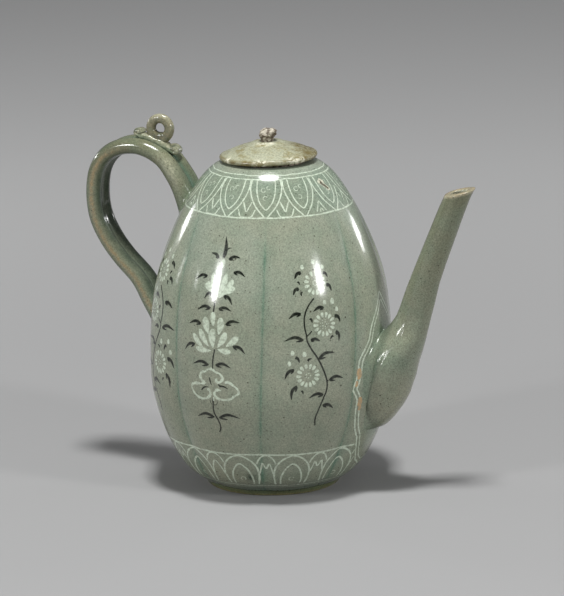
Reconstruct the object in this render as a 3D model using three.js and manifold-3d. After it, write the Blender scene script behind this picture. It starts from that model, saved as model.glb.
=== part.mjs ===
import * as THREE from 'three';
import { mergeVertices } from 'three/addons/utils/BufferGeometryUtils.js';
import Module from 'manifold-3d';

// Melon shaped wine ewer in inlaid celadon stoneware.
// A thrown body is pressed into eight lobes. It stands on a low turned foot.
// A hollow spout and a strap handle are luted to opposite sides.
// A cord loop rides on a scrolled saddle on top of the handle, and a flanged lid lifts off.
// Lengths are millimetres, Z is up, +X runs along the spout and -X along the handle.
// The foot stands on the plane z = 0, below the middle of the ewer's overall length.

const wasm = await Module();
wasm.setup();

// Joints of the assembly
const luteGap = 0.3;          // thin slip layer between pieces that were luted together
const seatGap = 0.3;          // the lid's running clearance over the mouth
const cutOverrun = 4;         // how far a cutting tool runs past the face it cuts
const weldDistance = 1e-4;    // corners closer than this are one corner

// Body
const lobes = 8;
const bodyRadius = 68.5;      // widest radius, on the crown of a lobe
const bodyHeight = 179.4;     // underside to mouth rim
const bodyWall = 5;
const floorThickness = 6;
const seamDepth = 2.4;        // how far a seam lies below the crowns at the widest level
const seamSharpness = 3;      // higher gives flatter crowns and a tighter valley
const mouthRadius = 21;
const mouthRimWidth = 3.6;
// level from underside to mouth rim, and radius as a share of the widest radius
const bodyProfileShares = [
  [0, 0.578], [0.042, 0.716], [0.144, 0.873], [0.289, 0.985], [0.41, 1], [0.53, 0.984],
  [0.657, 0.926], [0.824, 0.746], [0.947, 0.549], [0.979, 0.466], [0.996, 0.398],
];
const seamAtFootShare = 0.45; // share of the seam's depth that is left at the underside
const seamFullShares = [0.16, 0.78];  // levels between which the seams have their full depth
const seamEndShare = 0.95;    // level where the seams run out on the shoulder

// Foot ring
const footHeight = 3.4;
const footTopRadius = 38.6;
const footBaseRadius = 37.4;
const footWidth = 6;          // at the standing edge
const footTopWidth = 8.4;     // where the ring joins the body
const footEdge = 0.8;         // small round on the standing edge

// Spout
const spoutOutreach = 45.5;   // from the body's widest radius to the centre of the tip
const spoutTipDrop = 9.6;     // tip below the mouth rim
const spoutTipDepth = 17;
const spoutBulbDepth = 33.4;
const spoutTipWidth = 15.8;
const spoutBulbWidth = 34.4;
const spoutWall = 4.2;
const spoutTipWall = 2.5;
const spoutTipTilt = THREE.MathUtils.degToRad(12.5);
const spoutTiltFromShare = 0.5;  // where along the spout its rings start to tilt
const pourHoleRadius = 7;
const spoutRootShare = 0.173; // lowest ring of the spout, as a share of the body's height
// each ring: level from root to tip, centre's outreach, depth and width
// depth and width run from 0 at the tip's size to 1 at the bulb's size
const spoutRingShares = [
  [0, -0.23, -0.43, -0.2], [0.025, -0.18, 0.024, 0.28], [0.061, -0.145, 0.43, 0.69],
  [0.112, -0.103, 0.82, 0.95], [0.169, -0.055, 1, 1], [0.227, 0.007, 0.915, 0.915],
  [0.285, 0.086, 0.85, 0.74], [0.35, 0.187, 0.68, 0.53], [0.415, 0.279, 0.45, 0.32],
  [0.487, 0.382, 0.134, 0.13], [0.616, 0.512, 0.04, 0.045], [0.797, 0.734, 0.03, 0.03],
  [0.959, 0.936, -0.024, -0.016], [1, 1, 0, 0],
];

// Handle: two rolled strands laid side by side
const handleOutreach = 37.3;  // from the body's widest radius to the strap's outermost centre
const handleRise = 3.1;       // strap's highest centre above the mouth rim
const handleThickness = 9;
const handleWidth = 20.2;
const handleGroove = 1.5;     // depth of the furrow between the strands, on either face
const handleSquareness = 2.7;
const handleFlares = [4.5, 2];  // how much the strap spreads at the upper and the lower root
const handleFlarePowers = [4, 8];  // higher keeps the flare closer to its root
const handleSink = 11;        // how far the strap's ends reach in behind the body's surface
const handleRootShares = [0.845, 0.505];  // levels of the upper and lower root on the body
// upper run, root to outermost: outreach from the root, level from root to the top
const handleUpperShares = [
  [0.02, 0.25], [0.095, 0.5], [0.236, 0.815], [0.468, 1], [0.69, 0.975], [0.853, 0.815], [0.96, 0.53],
];
const handleOuterShare = 0.3; // outermost point's drop, as a share of the handle's height
// lower run, outermost to root: outreach from the root, level from root to the outermost
const handleLowerShares = [[0.955, 0.775], [0.796, 0.586], [0.59, 0.43], [0.283, 0.245], [0.1, 0.06]];

// Cord loop and its saddle
const loopRadius = 5.9;       // to the middle of the coil
const loopCoil = 5;           // diameter of the coil
const loopSink = 2.7;         // how deep the coil is pressed into the saddle
const loopAlongShare = 0.262; // where the loop stands along the handle
const saddleThickness = 2.4;
const saddleWidth = 7;
const saddleHalfLengths = [8.7, 10.2];  // to the outer and the body side of the loop
const saddleRollRadius = 2.2;
const saddleSquareness = 2.6;

// Lid
const lidRadius = 27.2;
const lidRim = 3;             // thickness at the rim
const lidDomeHeight = 6.4;    // rim's top to the knob's seat
const lidWall = 4;
const lidDomeShares = [[0.72, 0.42], [0.42, 0.82]];  // radius, and height from rim to knob
const flangeRadius = 20.3;
const flangeWall = 2.8;
const flangeDepth = 9;
const flangeEdge = 0.9;
const knobRadius = 4.9;
const knobHeight = 8.4;
const knobNeckRadius = 3.5;
const knobSeatRadius = 4.3;
// radius as a share of the bud's, and height
const knobShares = [[1, 0.52], [0.92, 0.84], [0.55, 1]];
const knobNeckShare = 0.16;   // height of the straight neck
const knobRingRadius = 7.4;   // low ring round the knob
const knobRingHeight = 0.7;

// Facets
const facetsPerLobe = 8;
const bodyRows = 18;
const innerRows = 11;
const footFacets = 48;
const lidFacets = 40;
const knobFacets = 20;
const domeRows = 9;
const knobRows = 10;
const spoutFacets = 24;
const spoutRows = 28;
const handleFacets = 20;
const handleRows = 38;
const loopFacets = 28;
const coilFacets = 10;
const saddleRows = 12;
const saddleFacets = 12;
const roundFacets = 4;
const curveSamples = 240;

// Levels that several pieces share
const bodyBase = footHeight;
const mouthLevel = bodyBase + bodyHeight;
const lidSeat = mouthLevel + seatGap;

// Smooth curve through hand-set points
function smoothCurve(points) {
  return new THREE.CatmullRomCurve3(points, false, 'centripetal');
}

// One closed mesh with shared corners, no collapsed triangles and its faces pointing out
function closed(geometry) {
  geometry.deleteAttribute('normal');
  geometry.deleteAttribute('uv');
  const merged = mergeVertices(geometry, weldDistance);
  const corners = Array.from(merged.index.array);
  const kept = [];
  for (let i = 0; i < corners.length; i += 3) {
    const [a, b, c] = corners.slice(i, i + 3);
    if (a !== b && b !== c && c !== a) kept.push(a, b, c);
  }
  merged.setIndex(kept);
  if (signedVolume(merged) < 0) {
    for (let i = 0; i < kept.length; i += 3) [kept[i], kept[i + 1]] = [kept[i + 1], kept[i]];
    merged.setIndex(kept);
  }
  return merged;
}

function signedVolume(geometry) {
  const place = geometry.attributes.position;
  const corners = geometry.index.array;
  const [a, b, c] = [new THREE.Vector3(), new THREE.Vector3(), new THREE.Vector3()];
  let sum = 0;
  for (let i = 0; i < corners.length; i += 3) {
    a.fromBufferAttribute(place, corners[i]);
    b.fromBufferAttribute(place, corners[i + 1]);
    c.fromBufferAttribute(place, corners[i + 2]);
    sum += a.dot(b.cross(c)) / 6;
  }
  return sum;
}

// Solids for joining and cutting
function toSolid(geometry) {
  const merged = closed(geometry);
  return new wasm.Manifold(new wasm.Mesh({
    numProp: 3,
    vertProperties: new Float32Array(merged.attributes.position.array),
    triVerts: new Uint32Array(merged.index.array),
  }));
}

function toGeometry(solid) {
  const mesh = solid.getMesh();
  const geometry = new THREE.BufferGeometry();
  geometry.setAttribute('position', new THREE.BufferAttribute(new Float32Array(mesh.vertProperties), 3));
  geometry.setIndex(new THREE.BufferAttribute(new Uint32Array(mesh.triVerts), 1));
  return geometry;
}

// Revolved solid about Z from a profile of [radius, level] points
function revolve(profile, facets) {
  const geometry = new THREE.LatheGeometry(profile.map(([r, z]) => new THREE.Vector2(r, z)), facets);
  return geometry.rotateX(Math.PI / 2);
}

// Quarter round from one point to another; steepFirst leaves the start along Z
function quarterRound([r0, z0], [r1, z1], steepFirst) {
  const points = [];
  for (let i = 0; i <= roundFacets; i += 1) {
    const turn = (Math.PI / 2) * (i / roundFacets);
    const early = Math.sin(turn);
    const late = 1 - Math.cos(turn);
    points.push([
      r0 + (r1 - r0) * (steepFirst ? late : early),
      z0 + (z1 - z0) * (steepFirst ? early : late),
    ]);
  }
  return points;
}

// Closed solid through rings of points, with a fan over each end
function loft(rings) {
  const around = rings[0].length;
  const places = rings.flat();
  const corners = [];
  for (let row = 0; row < rings.length - 1; row += 1) {
    for (let k = 0; k < around; k += 1) {
      const a = row * around + k;
      const b = row * around + ((k + 1) % around);
      corners.push(a, b, b + around, a, b + around, a + around);
    }
  }
  for (const [ring, first] of [[rings[0], 0], [rings.at(-1), (rings.length - 1) * around]]) {
    const centre = new THREE.Vector3();
    ring.forEach((point) => centre.add(point));
    places.push(centre.divideScalar(around));
    for (let k = 0; k < around; k += 1) {
      const pair = [first + k, first + ((k + 1) % around)];
      if (first === 0) pair.reverse();
      corners.push(...pair, places.length - 1);
    }
  }
  const geometry = new THREE.BufferGeometry();
  const numbers = places.flatMap((point) => [point.x, point.y, point.z]);
  geometry.setAttribute('position', new THREE.Float32BufferAttribute(numbers, 3));
  geometry.setIndex(corners);
  return geometry;
}

// Superellipse outline; squareness 2 is an ellipse
function section(halfDepth, halfWidth, squareness, facets) {
  const points = [];
  for (let k = 0; k < facets; k += 1) {
    const turn = (2 * Math.PI * k) / facets;
    const [c, s] = [Math.cos(turn), Math.sin(turn)];
    points.push(new THREE.Vector2(
      halfDepth * Math.sign(c) * Math.abs(c) ** (2 / squareness),
      halfWidth * Math.sign(s) * Math.abs(s) ** (2 / squareness),
    ));
  }
  return points;
}

// Body's outer curve, as (radius, level) points from the underside to the mouth
const bodyCurve = smoothCurve(bodyProfileShares.map(([level, radius]) => (
  new THREE.Vector3(bodyRadius * radius, bodyBase + bodyHeight * level, 0)
)));

// Crown radius at a level
const bodySamples = bodyCurve.getPoints(curveSamples);
function bodyRadiusAt(level) {
  const after = bodySamples.findIndex((point) => point.y >= level);
  if (after <= 0) return bodySamples.at(after < 0 ? -1 : 0).x;
  const [low, high] = [bodySamples[after - 1], bodySamples[after]];
  return THREE.MathUtils.mapLinear(level, low.y, high.y, low.x, high.x);
}

// Share of a crown radius that is left at an angle and a level: 1 on a crown, least in a seam
function lobeShareAt(angle, level) {
  const share = (level - bodyBase) / bodyHeight;
  const start = THREE.MathUtils.smoothstep(share, 0, seamFullShares[0]);
  const rise = THREE.MathUtils.lerp(seamAtFootShare, 1, start);
  const fade = 1 - THREE.MathUtils.smoothstep(share, seamFullShares[1], seamEndShare);
  const pitch = (2 * Math.PI) / lobes;
  const fromCrown = Math.abs(angle / pitch - Math.round(angle / pitch)) * 2;
  return 1 - (seamDepth / bodyRadius) * rise * fade * fromCrown ** seamSharpness;
}

// Presses the lobes into a revolved form
function pressLobes(geometry) {
  const place = geometry.attributes.position;
  for (let i = 0; i < place.count; i += 1) {
    const share = lobeShareAt(Math.atan2(place.getY(i), place.getX(i)), place.getZ(i));
    place.setXY(i, place.getX(i) * share, place.getY(i) * share);
  }
  return geometry;
}

// Body's outer form as a full solid, grown all over, for cutting what is luted to it
function bodyBlank(grow) {
  const outer = bodyCurve.getSpacedPoints(bodyRows).map((point) => [point.x + grow, point.y]);
  const profile = [[0, bodyBase - grow], [outer[0][0], bodyBase - grow], ...outer,
    [outer.at(-1)[0], mouthLevel + grow], [0, mouthLevel + grow]];
  return toSolid(pressLobes(revolve(profile, lobes * facetsPerLobe)));
}

// Body: lobed hollow shell with an open mouth, and a hole through the wall behind the spout
function makeBody() {
  const outer = bodyCurve.getSpacedPoints(bodyRows).map((point) => [point.x, point.y]);
  const floorLevel = bodyBase + floorThickness;
  const inner = [];
  for (let i = innerRows; i >= 0; i -= 1) {
    const point = bodyCurve.getPointAt(i / innerRows);
    const along = bodyCurve.getTangentAt(i / innerRows);
    const [r, z] = [point.x - along.y * bodyWall, point.y + along.x * bodyWall];
    if (r > mouthRadius + bodyWall / 2 && z > floorLevel + bodyWall / 2 && z < mouthLevel - bodyWall) {
      inner.push([r, z]);
    }
  }
  const throat = inner[0][1] + bodyWall / 2;
  const profile = [[0, bodyBase], ...outer,
    [mouthRadius + mouthRimWidth, mouthLevel], [mouthRadius, mouthLevel], [mouthRadius, throat],
    ...inner, [inner.at(-1)[0] - bodyWall, floorLevel], [0, floorLevel]];
  const shell = toSolid(pressLobes(revolve(profile, lobes * facetsPerLobe)));
  const drill = new THREE.CylinderGeometry(pourHoleRadius, pourHoleRadius, bodyRadius, spoutFacets);
  drill.rotateZ(Math.PI / 2).translate(bodyRadius, 0, pourHoleLevel());
  return toGeometry(shell.subtract(toSolid(drill)));
}

// Foot ring: plain turned ring with a rounded standing edge, recessed inside
function makeFootRing() {
  const inside = footBaseRadius - footWidth;
  return revolve([
    [inside + footEdge, 0],
    ...quarterRound([footBaseRadius - footEdge, 0], [footBaseRadius, footEdge], false),
    [footTopRadius, footHeight], [footTopRadius - footTopWidth, footHeight],
    ...quarterRound([inside, footEdge], [inside + footEdge, 0], true),
  ], footFacets);
}

// Spout's rings follow one table, so the bore and the outside share their centres
const spoutRoot = bodyBase + bodyHeight * spoutRootShare;
const spoutTip = mouthLevel - spoutTipDrop;
const spoutCentres = smoothCurve(spoutRingShares.map(([level, reach]) => new THREE.Vector3(
  bodyRadius + spoutOutreach * reach,
  THREE.MathUtils.lerp(spoutRoot, spoutTip, level),
  0,
)));
const spoutSizes = smoothCurve(spoutRingShares.map(([, , depth, width]) => new THREE.Vector3(
  THREE.MathUtils.lerp(spoutTipDepth, spoutBulbDepth, depth) / 2,
  THREE.MathUtils.lerp(spoutTipWidth, spoutBulbWidth, width) / 2,
  0,
)));

function pourHoleLevel() {
  const bulb = spoutRingShares.findIndex(([, , , width]) => width === 1);
  return spoutCentres.getPoint(bulb / (spoutRingShares.length - 1)).y;
}

function spoutRing(along, wallHere, lift) {
  const centre = spoutCentres.getPoint(along);
  const size = spoutSizes.getPoint(along);
  const tilt = Math.tan(spoutTipTilt) * THREE.MathUtils.smoothstep(along, spoutTiltFromShare, 1);
  const lean = spoutCentres.getTangent(1);
  return section(size.x - wallHere, size.y - wallHere, 2, spoutFacets).map((point) => new THREE.Vector3(
    centre.x + point.x + (lift * lean.x) / lean.y,
    point.y,
    centre.y + point.x * tilt + lift,
  ));
}

// Spout: tapered tube that swells to a bulb at its root, bored through and open to the body
function makeSpout(blank) {
  const outside = [];
  const bore = [];
  for (let i = 0; i <= spoutRows; i += 1) {
    const along = i / spoutRows;
    const wallHere = THREE.MathUtils.lerp(spoutWall, spoutTipWall, along);
    outside.push(spoutRing(along, 0, 0));
    const size = spoutSizes.getPoint(along);
    if (size.x > 2 * wallHere || along > spoutTiltFromShare) bore.push(spoutRing(along, wallHere, 0));
  }
  bore.push(spoutRing(1, spoutTipWall, cutOverrun));
  return toGeometry(toSolid(loft(outside)).subtract(toSolid(loft(bore))).subtract(blank));
}

// Handle's centre line, from inside the upper wall over the top and down into the lower wall
const handleRoots = handleRootShares.map((share) => {
  const level = bodyBase + bodyHeight * share;
  return new THREE.Vector3(bodyRadiusAt(level), level, 0);
});
const handleTop = mouthLevel + handleRise;
const handleOut = bodyRadius + handleOutreach;
const handleOuterLevel = THREE.MathUtils.lerp(handleTop, handleRoots[1].y, handleOuterShare);
const handleCurve = smoothCurve([
  new THREE.Vector3(handleRoots[0].x - handleSink / 2, handleRoots[0].y - handleSink, 0),
  ...handleUpperShares.map(([reach, level]) => new THREE.Vector3(
    THREE.MathUtils.lerp(handleRoots[0].x, handleOut, reach),
    THREE.MathUtils.lerp(handleRoots[0].y, handleTop, level),
    0,
  )),
  new THREE.Vector3(handleOut, handleOuterLevel, 0),
  ...handleLowerShares.map(([reach, level]) => new THREE.Vector3(
    THREE.MathUtils.lerp(handleRoots[1].x, handleOut, reach),
    THREE.MathUtils.lerp(handleRoots[1].y, handleOuterLevel, level),
    0,
  )),
  new THREE.Vector3(handleRoots[1].x - handleSink / 2, handleRoots[1].y - handleSink, 0),
]);

// Point on the handle, off its centre line by an outward distance and along Y by a side distance
function handlePoint(along, outward, side) {
  const centre = handleCurve.getPointAt(along);
  const run = handleCurve.getTangentAt(along);
  return new THREE.Vector3(-(centre.x - run.y * outward), side, centre.y + run.x * outward);
}

// Handle: furrowed strap that spreads at both roots
function handleStrap(grow) {
  const rings = [];
  for (let i = 0; i <= handleRows; i += 1) {
    const along = i / handleRows;
    const flare = handleFlares[0] * (1 - along) ** handleFlarePowers[0]
      + handleFlares[1] * along ** handleFlarePowers[1];
    const halfThickness = (handleThickness + flare) / 2 + grow;
    const halfWidth = (handleWidth + flare) / 2 + grow;
    rings.push(section(halfThickness, halfWidth, handleSquareness, handleFacets).map((point) => {
      const acrossShare = point.y / halfWidth;
      const furrow = handleGroove * Math.max(0, Math.cos(Math.PI * acrossShare));
      return handlePoint(along, point.x - Math.sign(point.x) * furrow, point.y);
    }));
  }
  return toSolid(loft(rings));
}

function makeHandle(blank) {
  return toGeometry(handleStrap(0).subtract(blank));
}

// Saddle: strip bent over the handle's top, rolled up at both ends
function saddleStrip(grow) {
  const length = handleCurve.getLength();
  const height = handleThickness / 2 + saddleThickness / 2;
  const ends = [-saddleHalfLengths[0], saddleHalfLengths[1]].map((step) => loopAlongShare - step / length);
  const rings = [];
  for (let i = 0; i <= saddleRows; i += 1) {
    const along = THREE.MathUtils.lerp(ends[0], ends[1], i / saddleRows);
    const [halfDepth, halfWidth] = [saddleThickness / 2 + grow, saddleWidth / 2 + grow];
    const outline = section(halfDepth, halfWidth, saddleSquareness, saddleFacets);
    rings.push(outline.map((point) => handlePoint(along, height + point.x, point.y)));
  }
  let strip = toSolid(loft(rings));
  for (const along of ends) {
    const radius = saddleRollRadius + grow;
    const width = saddleWidth + 2 * grow;
    const roll = new THREE.CylinderGeometry(radius, radius, width, saddleFacets);
    const middle = handlePoint(along, handleThickness / 2 + luteGap + saddleRollRadius, 0);
    roll.translate(middle.x, middle.y, middle.z);
    strip = strip.add(toSolid(roll));
  }
  return strip;
}

function makeSaddle() {
  return toGeometry(saddleStrip(0).subtract(handleStrap(luteGap)));
}

// Cord loop: ring of coiled clay, flattened where it is pressed on the saddle
function makeCordLoop() {
  const foot = handleThickness / 2 + saddleThickness - loopSink;
  const middle = handlePoint(loopAlongShare, foot + loopRadius + loopCoil / 2, 0);
  const ring = new THREE.TorusGeometry(loopRadius, loopCoil / 2, coilFacets, loopFacets);
  ring.rotateX(Math.PI / 2).translate(middle.x, middle.y, middle.z);
  return toGeometry(toSolid(ring).subtract(saddleStrip(luteGap)).subtract(handleStrap(luteGap)));
}

// Lid's disc: low dome with a rounded rim, a low ring round the knob, and hollow underneath
function makeLidDisc() {
  const rimTop = lidSeat + lidRim;
  const knobSeat = rimTop + lidDomeHeight;
  const edge = lidRim / 2;
  const dome = smoothCurve([
    new THREE.Vector3(lidRadius - edge, rimTop, 0),
    ...lidDomeShares.map(([radius, height]) => (
      new THREE.Vector3(lidRadius * radius, rimTop + lidDomeHeight * height, 0)
    )),
    new THREE.Vector3(knobSeatRadius, knobSeat, 0),
  ]).getPoints(domeRows).map((point) => {
    const off = (point.x - knobRingRadius) / (knobRingRadius - knobSeatRadius);
    return [point.x, point.y + knobRingHeight * Math.max(0, 1 - off * off)];
  });
  const hollow = flangeRadius - flangeWall;
  return revolve([
    [0, knobSeat - lidWall], [hollow / 2, knobSeat - lidWall], [hollow, lidSeat],
    ...quarterRound([lidRadius - edge, lidSeat], [lidRadius, lidSeat + edge], false),
    ...quarterRound([lidRadius, lidSeat + edge], [lidRadius - edge, rimTop], true).slice(1),
    ...dome.slice(1), [0, knobSeat],
  ], lidFacets);
}

// Lid's flange: plain collar that drops into the mouth
function makeLidFlange() {
  const inside = flangeRadius - flangeWall;
  const low = lidSeat - flangeDepth;
  return revolve([
    [inside, lidSeat], [inside, low],
    [flangeRadius - flangeEdge, low],
    ...quarterRound([flangeRadius - flangeEdge, low], [flangeRadius, low + flangeEdge], false).slice(1),
    [flangeRadius, lidSeat], [inside, lidSeat],
  ], lidFacets);
}

// Knob: small bud, pinched at the neck, its top worn flat
function makeKnob() {
  const base = lidSeat + lidRim + lidDomeHeight;
  const bud = smoothCurve([
    new THREE.Vector3(knobNeckRadius, base, 0),
    new THREE.Vector3(knobNeckRadius, base + knobHeight * knobNeckShare, 0),
    ...knobShares.map(([radius, height]) => (
      new THREE.Vector3(knobRadius * radius, base + knobHeight * height, 0)
    )),
  ]).getPoints(knobRows).map((point) => [point.x, point.y]);
  return revolve([[0, base], ...bud, [0, base + knobHeight]], knobFacets);
}

// Finishes: celadon glaze over grey stoneware, browner where it is thin
const celadon = { color: '#8d9a85', roughness: 0.22, metalness: 0 };
const celadonOlive = { color: '#848a72', roughness: 0.24, metalness: 0 };
const celadonDark = { color: '#59684b', roughness: 0.35, metalness: 0 };
const lidOlive = { color: '#9a9570', roughness: 0.34, metalness: 0 };
const bareStoneware = { color: '#b9a68c', roughness: 0.8, metalness: 0 };

function piece(name, geometry, finish) {
  const mesh = new THREE.Mesh(closed(geometry), new THREE.MeshStandardMaterial(finish));
  mesh.name = name;
  return mesh;
}

const blank = bodyBlank(luteGap);
const ewer = new THREE.Group();
ewer.add(
  piece('body', makeBody(), celadon),
  piece('foot_ring', makeFootRing(), celadonDark),
  piece('spout', makeSpout(blank), celadonOlive),
  piece('handle', makeHandle(blank), celadonOlive),
  piece('loop_saddle', makeSaddle(), celadonOlive),
  piece('cord_loop', makeCordLoop(), celadonOlive),
  piece('lid_disc', makeLidDisc(), lidOlive),
  piece('lid_flange', makeLidFlange(), bareStoneware),
  piece('lid_knob', makeKnob(), bareStoneware),
);

// The overall length is centred over the origin
const reach = new THREE.Box3().setFromObject(ewer);
ewer.position.x = -(reach.min.x + reach.max.x) / 2;

const group = new THREE.Group();
group.add(ewer);

export default group;
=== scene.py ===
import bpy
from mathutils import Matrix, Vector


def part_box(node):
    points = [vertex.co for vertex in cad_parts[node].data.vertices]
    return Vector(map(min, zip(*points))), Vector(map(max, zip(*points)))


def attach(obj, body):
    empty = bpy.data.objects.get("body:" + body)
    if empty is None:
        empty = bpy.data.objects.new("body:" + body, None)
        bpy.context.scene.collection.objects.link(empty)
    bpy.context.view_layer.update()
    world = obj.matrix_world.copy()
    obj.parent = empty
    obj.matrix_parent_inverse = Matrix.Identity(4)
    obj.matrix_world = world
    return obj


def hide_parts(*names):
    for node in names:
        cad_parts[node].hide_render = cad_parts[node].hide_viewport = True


bl_info = {
    "name": "Melon shaped inlaid celadon ewer",
    "version": (1, 0, 0),
    "blender": (4, 2, 0),
    "location": "3D Viewport > Sidebar > Ewer",
    "description": "Dresses the ewer's solids with lobed glazed walls, inlaid slip and studio light",
    "category": "Object",
}

import math
from functools import cache

import bmesh
import bpy
from bpy.props import FloatProperty, FloatVectorProperty, PointerProperty
from mathutils import Matrix, Vector, noise

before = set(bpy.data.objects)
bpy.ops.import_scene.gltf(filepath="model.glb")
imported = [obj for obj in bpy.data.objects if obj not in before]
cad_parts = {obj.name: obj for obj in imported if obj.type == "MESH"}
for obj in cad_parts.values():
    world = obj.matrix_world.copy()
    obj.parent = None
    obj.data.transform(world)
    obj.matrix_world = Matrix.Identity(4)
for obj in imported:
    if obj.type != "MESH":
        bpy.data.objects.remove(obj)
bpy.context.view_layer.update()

# Shapes are worked out in millimetres about the pot's own axis, then put in the frame in metres
MM = 0.001
foot_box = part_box("foot_ring")
body_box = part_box("body")
lid_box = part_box("lid_disc")
knob_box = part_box("lid_knob")
AXIS = Vector(((foot_box[0].x + foot_box[1].x) / 2, 0, 0))

# Body
LOBES = 8
LOBE_PITCH = math.tau / LOBES
BODY_RADIUS = (body_box[1].x - AXIS.x) / MM
BODY_BASE = body_box[0].z / MM
MOUTH_LEVEL = body_box[1].z / MM
BODY_HEIGHT = MOUTH_LEVEL - BODY_BASE
BODY_WALL = 5
FLOOR = 6
MOUTH_RADIUS = 21
MOUTH_RIM = 3.6
# Rows up the outer and the inner wall, and columns of each lobe
BODY_ROWS = (150, 44)
LOBE_COLUMNS = 38
SEAM_SHARPNESS = 3
SEAM_SOFTNESS = 0.03
# Strength of a seam at the base, and shares of the height where it is full, starts to fade and ends
SEAM_LEVELS = (0.45, 0.16, 0.66, 0.94)
# Shares of the body's height and of its radius, up the outer wall
BODY_PROFILE = (
    (0, 0.578), (0.042, 0.716), (0.144, 0.873), (0.289, 0.985), (0.41, 1), (0.53, 0.984),
    (0.657, 0.926), (0.824, 0.746), (0.947, 0.549), (0.979, 0.466), (0.996, 0.398),
)
# Where each hand-pressed seam strays from its even place, in degrees, low down and high up
SEAM_LEANS = (
    (1.5, -2), (-1, 2), (2, 0.5), (1, -1.5), (-1.5, 1), (-4.4, -7.5), (-4.7, -0.8), (-3, 6.5),
)
LEAN_LEVELS = (38, 157)

# Foot
FOOT_HEIGHT = foot_box[1].z / MM
FOOT_TOP_RADIUS = 38.6
FOOT_BASE_RADIUS = 37.4
FOOT_WALL = 6

# Depth to which a luted piece's edges run under the wall
ROOT_SINK = 0.9

# Spout
SPOUT_OUTREACH = 45.5
SPOUT_ROOT = BODY_BASE + BODY_HEIGHT * 0.173
SPOUT_TIP = MOUTH_LEVEL - 9.6
# Fore and aft and across, of the tube and of the bulb
SPOUT_DEPTHS = (17, 33.4)
SPOUT_WIDTHS = (15.8, 34.4)
# At the root and at the tip
SPOUT_WALLS = (4.2, 4.3)
SPOUT_TILT = math.radians(12.5)
SPOUT_DIP = 0.085
# Reach of the fillet of slip at its least, and more at its sides and below
SPOUT_FILLETS = (2.2, 7.2, 3)
LIP_START = 0.9925
SPOUT_COLUMNS = 72
SPOUT_ROWS = 96
BORE_ROWS = 44
LIP_ROWS = 8
# Shares of the rise, of the outreach, and of the way from the tube's depth and width to the bulb's
SPOUT_RINGS = (
    (0, -0.23, -0.43, -0.2), (0.025, -0.18, 0.024, 0.28), (0.061, -0.145, 0.43, 0.69),
    (0.112, -0.12, 0.92, 0.96), (0.169, -0.085, 1.195, 1), (0.227, -0.02, 1.17, 0.99),
    (0.285, 0.045, 1.08, 0.97), (0.33, 0.125, 0.9, 0.86), (0.375, 0.21, 0.66, 0.58),
    (0.415, 0.28, 0.49, 0.25), (0.487, 0.392, 0.2, 0.05), (0.616, 0.52, 0.09, 0.07),
    (0.797, 0.734, 0.03, 0.03), (0.959, 0.936, -0.024, -0.016), (1, 1, 0, 0),
)
POUR_HOLE = 7
POUR_LEVEL = 57.9

# Handle, cord loop and saddle
HANDLE_OUTREACH = 37.3
HANDLE_RISE = 3.1
HANDLE_THICKNESS = 9
HANDLE_WIDTH = 20.2
HANDLE_SQUARENESS = 2.7
HANDLE_FILLET = 2.4
HANDLE_COLUMNS = 80
HANDLE_ROWS = 150
# How much broader it is at the upper and the lower root, and how soon that passes
HANDLE_FLARES = (4.5, 2)
HANDLE_FLARE_POWERS = (4, 8)
HANDLE_SINK = 11
# Shares of the body's height at which it is rooted
HANDLE_ROOTS = (0.845, 0.505)
# Shares of the outreach and of the rise, over the top and then from its outermost point down
HANDLE_UPPER = (
    (0.02, 0.25), (0.095, 0.5), (0.236, 0.815), (0.468, 1), (0.69, 0.975),
    (0.853, 0.815), (0.96, 0.53),
)
HANDLE_OUTER = 0.3
HANDLE_LOWER = ((0.955, 0.775), (0.796, 0.586), (0.59, 0.43), (0.283, 0.245), (0.1, 0.06))
LOOP_RADIUS = 5.9
LOOP_COIL = 5
LOOP_SINK = 2.7
LOOP_ALONG = 0.262
LOOP_FACETS = 28
LOOP_STEPS = 96
SADDLE_THICKNESS = 2.4
SADDLE_HALF_WIDTH = 4.06
SADDLE_ENDS = (8.7, 10.2)
SADDLE_FACETS = 20
ROLL_RADIUS = 2.2
# Turn of the scrolls in degrees, the strip's thickness in them, and points in each
SCROLL_TURN = 250
SCROLL_THICKNESS = 2.7
SCROLL_STEPS = 18

# Lid
LID_SEAT = lid_box[0].z / MM
LID_RADIUS = (lid_box[1].x - lid_box[0].x) / 2 / MM
LID_RIM = 3
LID_DOME = 6.4
LID_WALL = 4
FLANGE_RADIUS = 20.3
FLANGE_WALL = 2.8
FLANGE_DEPTH = 9
KNOB_RADIUS = 4.9
KNOB_BASE = knob_box[0].z / MM
KNOB_HEIGHT = (knob_box[1].z - knob_box[0].z) / MM
# Pale blisters in the lid's glaze: place about the axis and reach
BLISTERS = (
    (-14.3, -22.4, 1.9), (5, -26.2, 2.2), (8, -25.4, 1.6), (22.8, -13.7, 2.4), (20.6, -15.6, 2),
    (1.4, -8.4, 2.6), (-2.4, -7.6, 1.8), (4.8, -6.4, 1.6), (24.8, -9.6, 1.4),
)

# Inlay: where each kind of drawing sits, as the middle of its panel in degrees round the pot
LOTUS_PANELS = (-90, 90)
CHRYSANTHEMUM_PANELS = (-45, 45, 135, -135)
INLAY_FLOOR = -0.2
RING_STEPS = 300
# A spot of iron in the clay: its angle in degrees, level and reach
IRON_SPOT = (-80.1, 14.2, 2.8)

CERAMIC_IOR = 1.5


def smoothstep(value, low, high):
    share = min(1, max(0, (value - low) / (high - low)))
    return share * share * (3 - 2 * share)


def mix(low, high, share):
    return low + (high - low) * share


def fade(distance, reach):
    """1 at no distance, a third at the reach, and almost nothing beyond twice that"""
    return math.exp(-(distance / reach) ** 2)


def turns(count):
    return [math.tau * k / count for k in range(count)]


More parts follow.
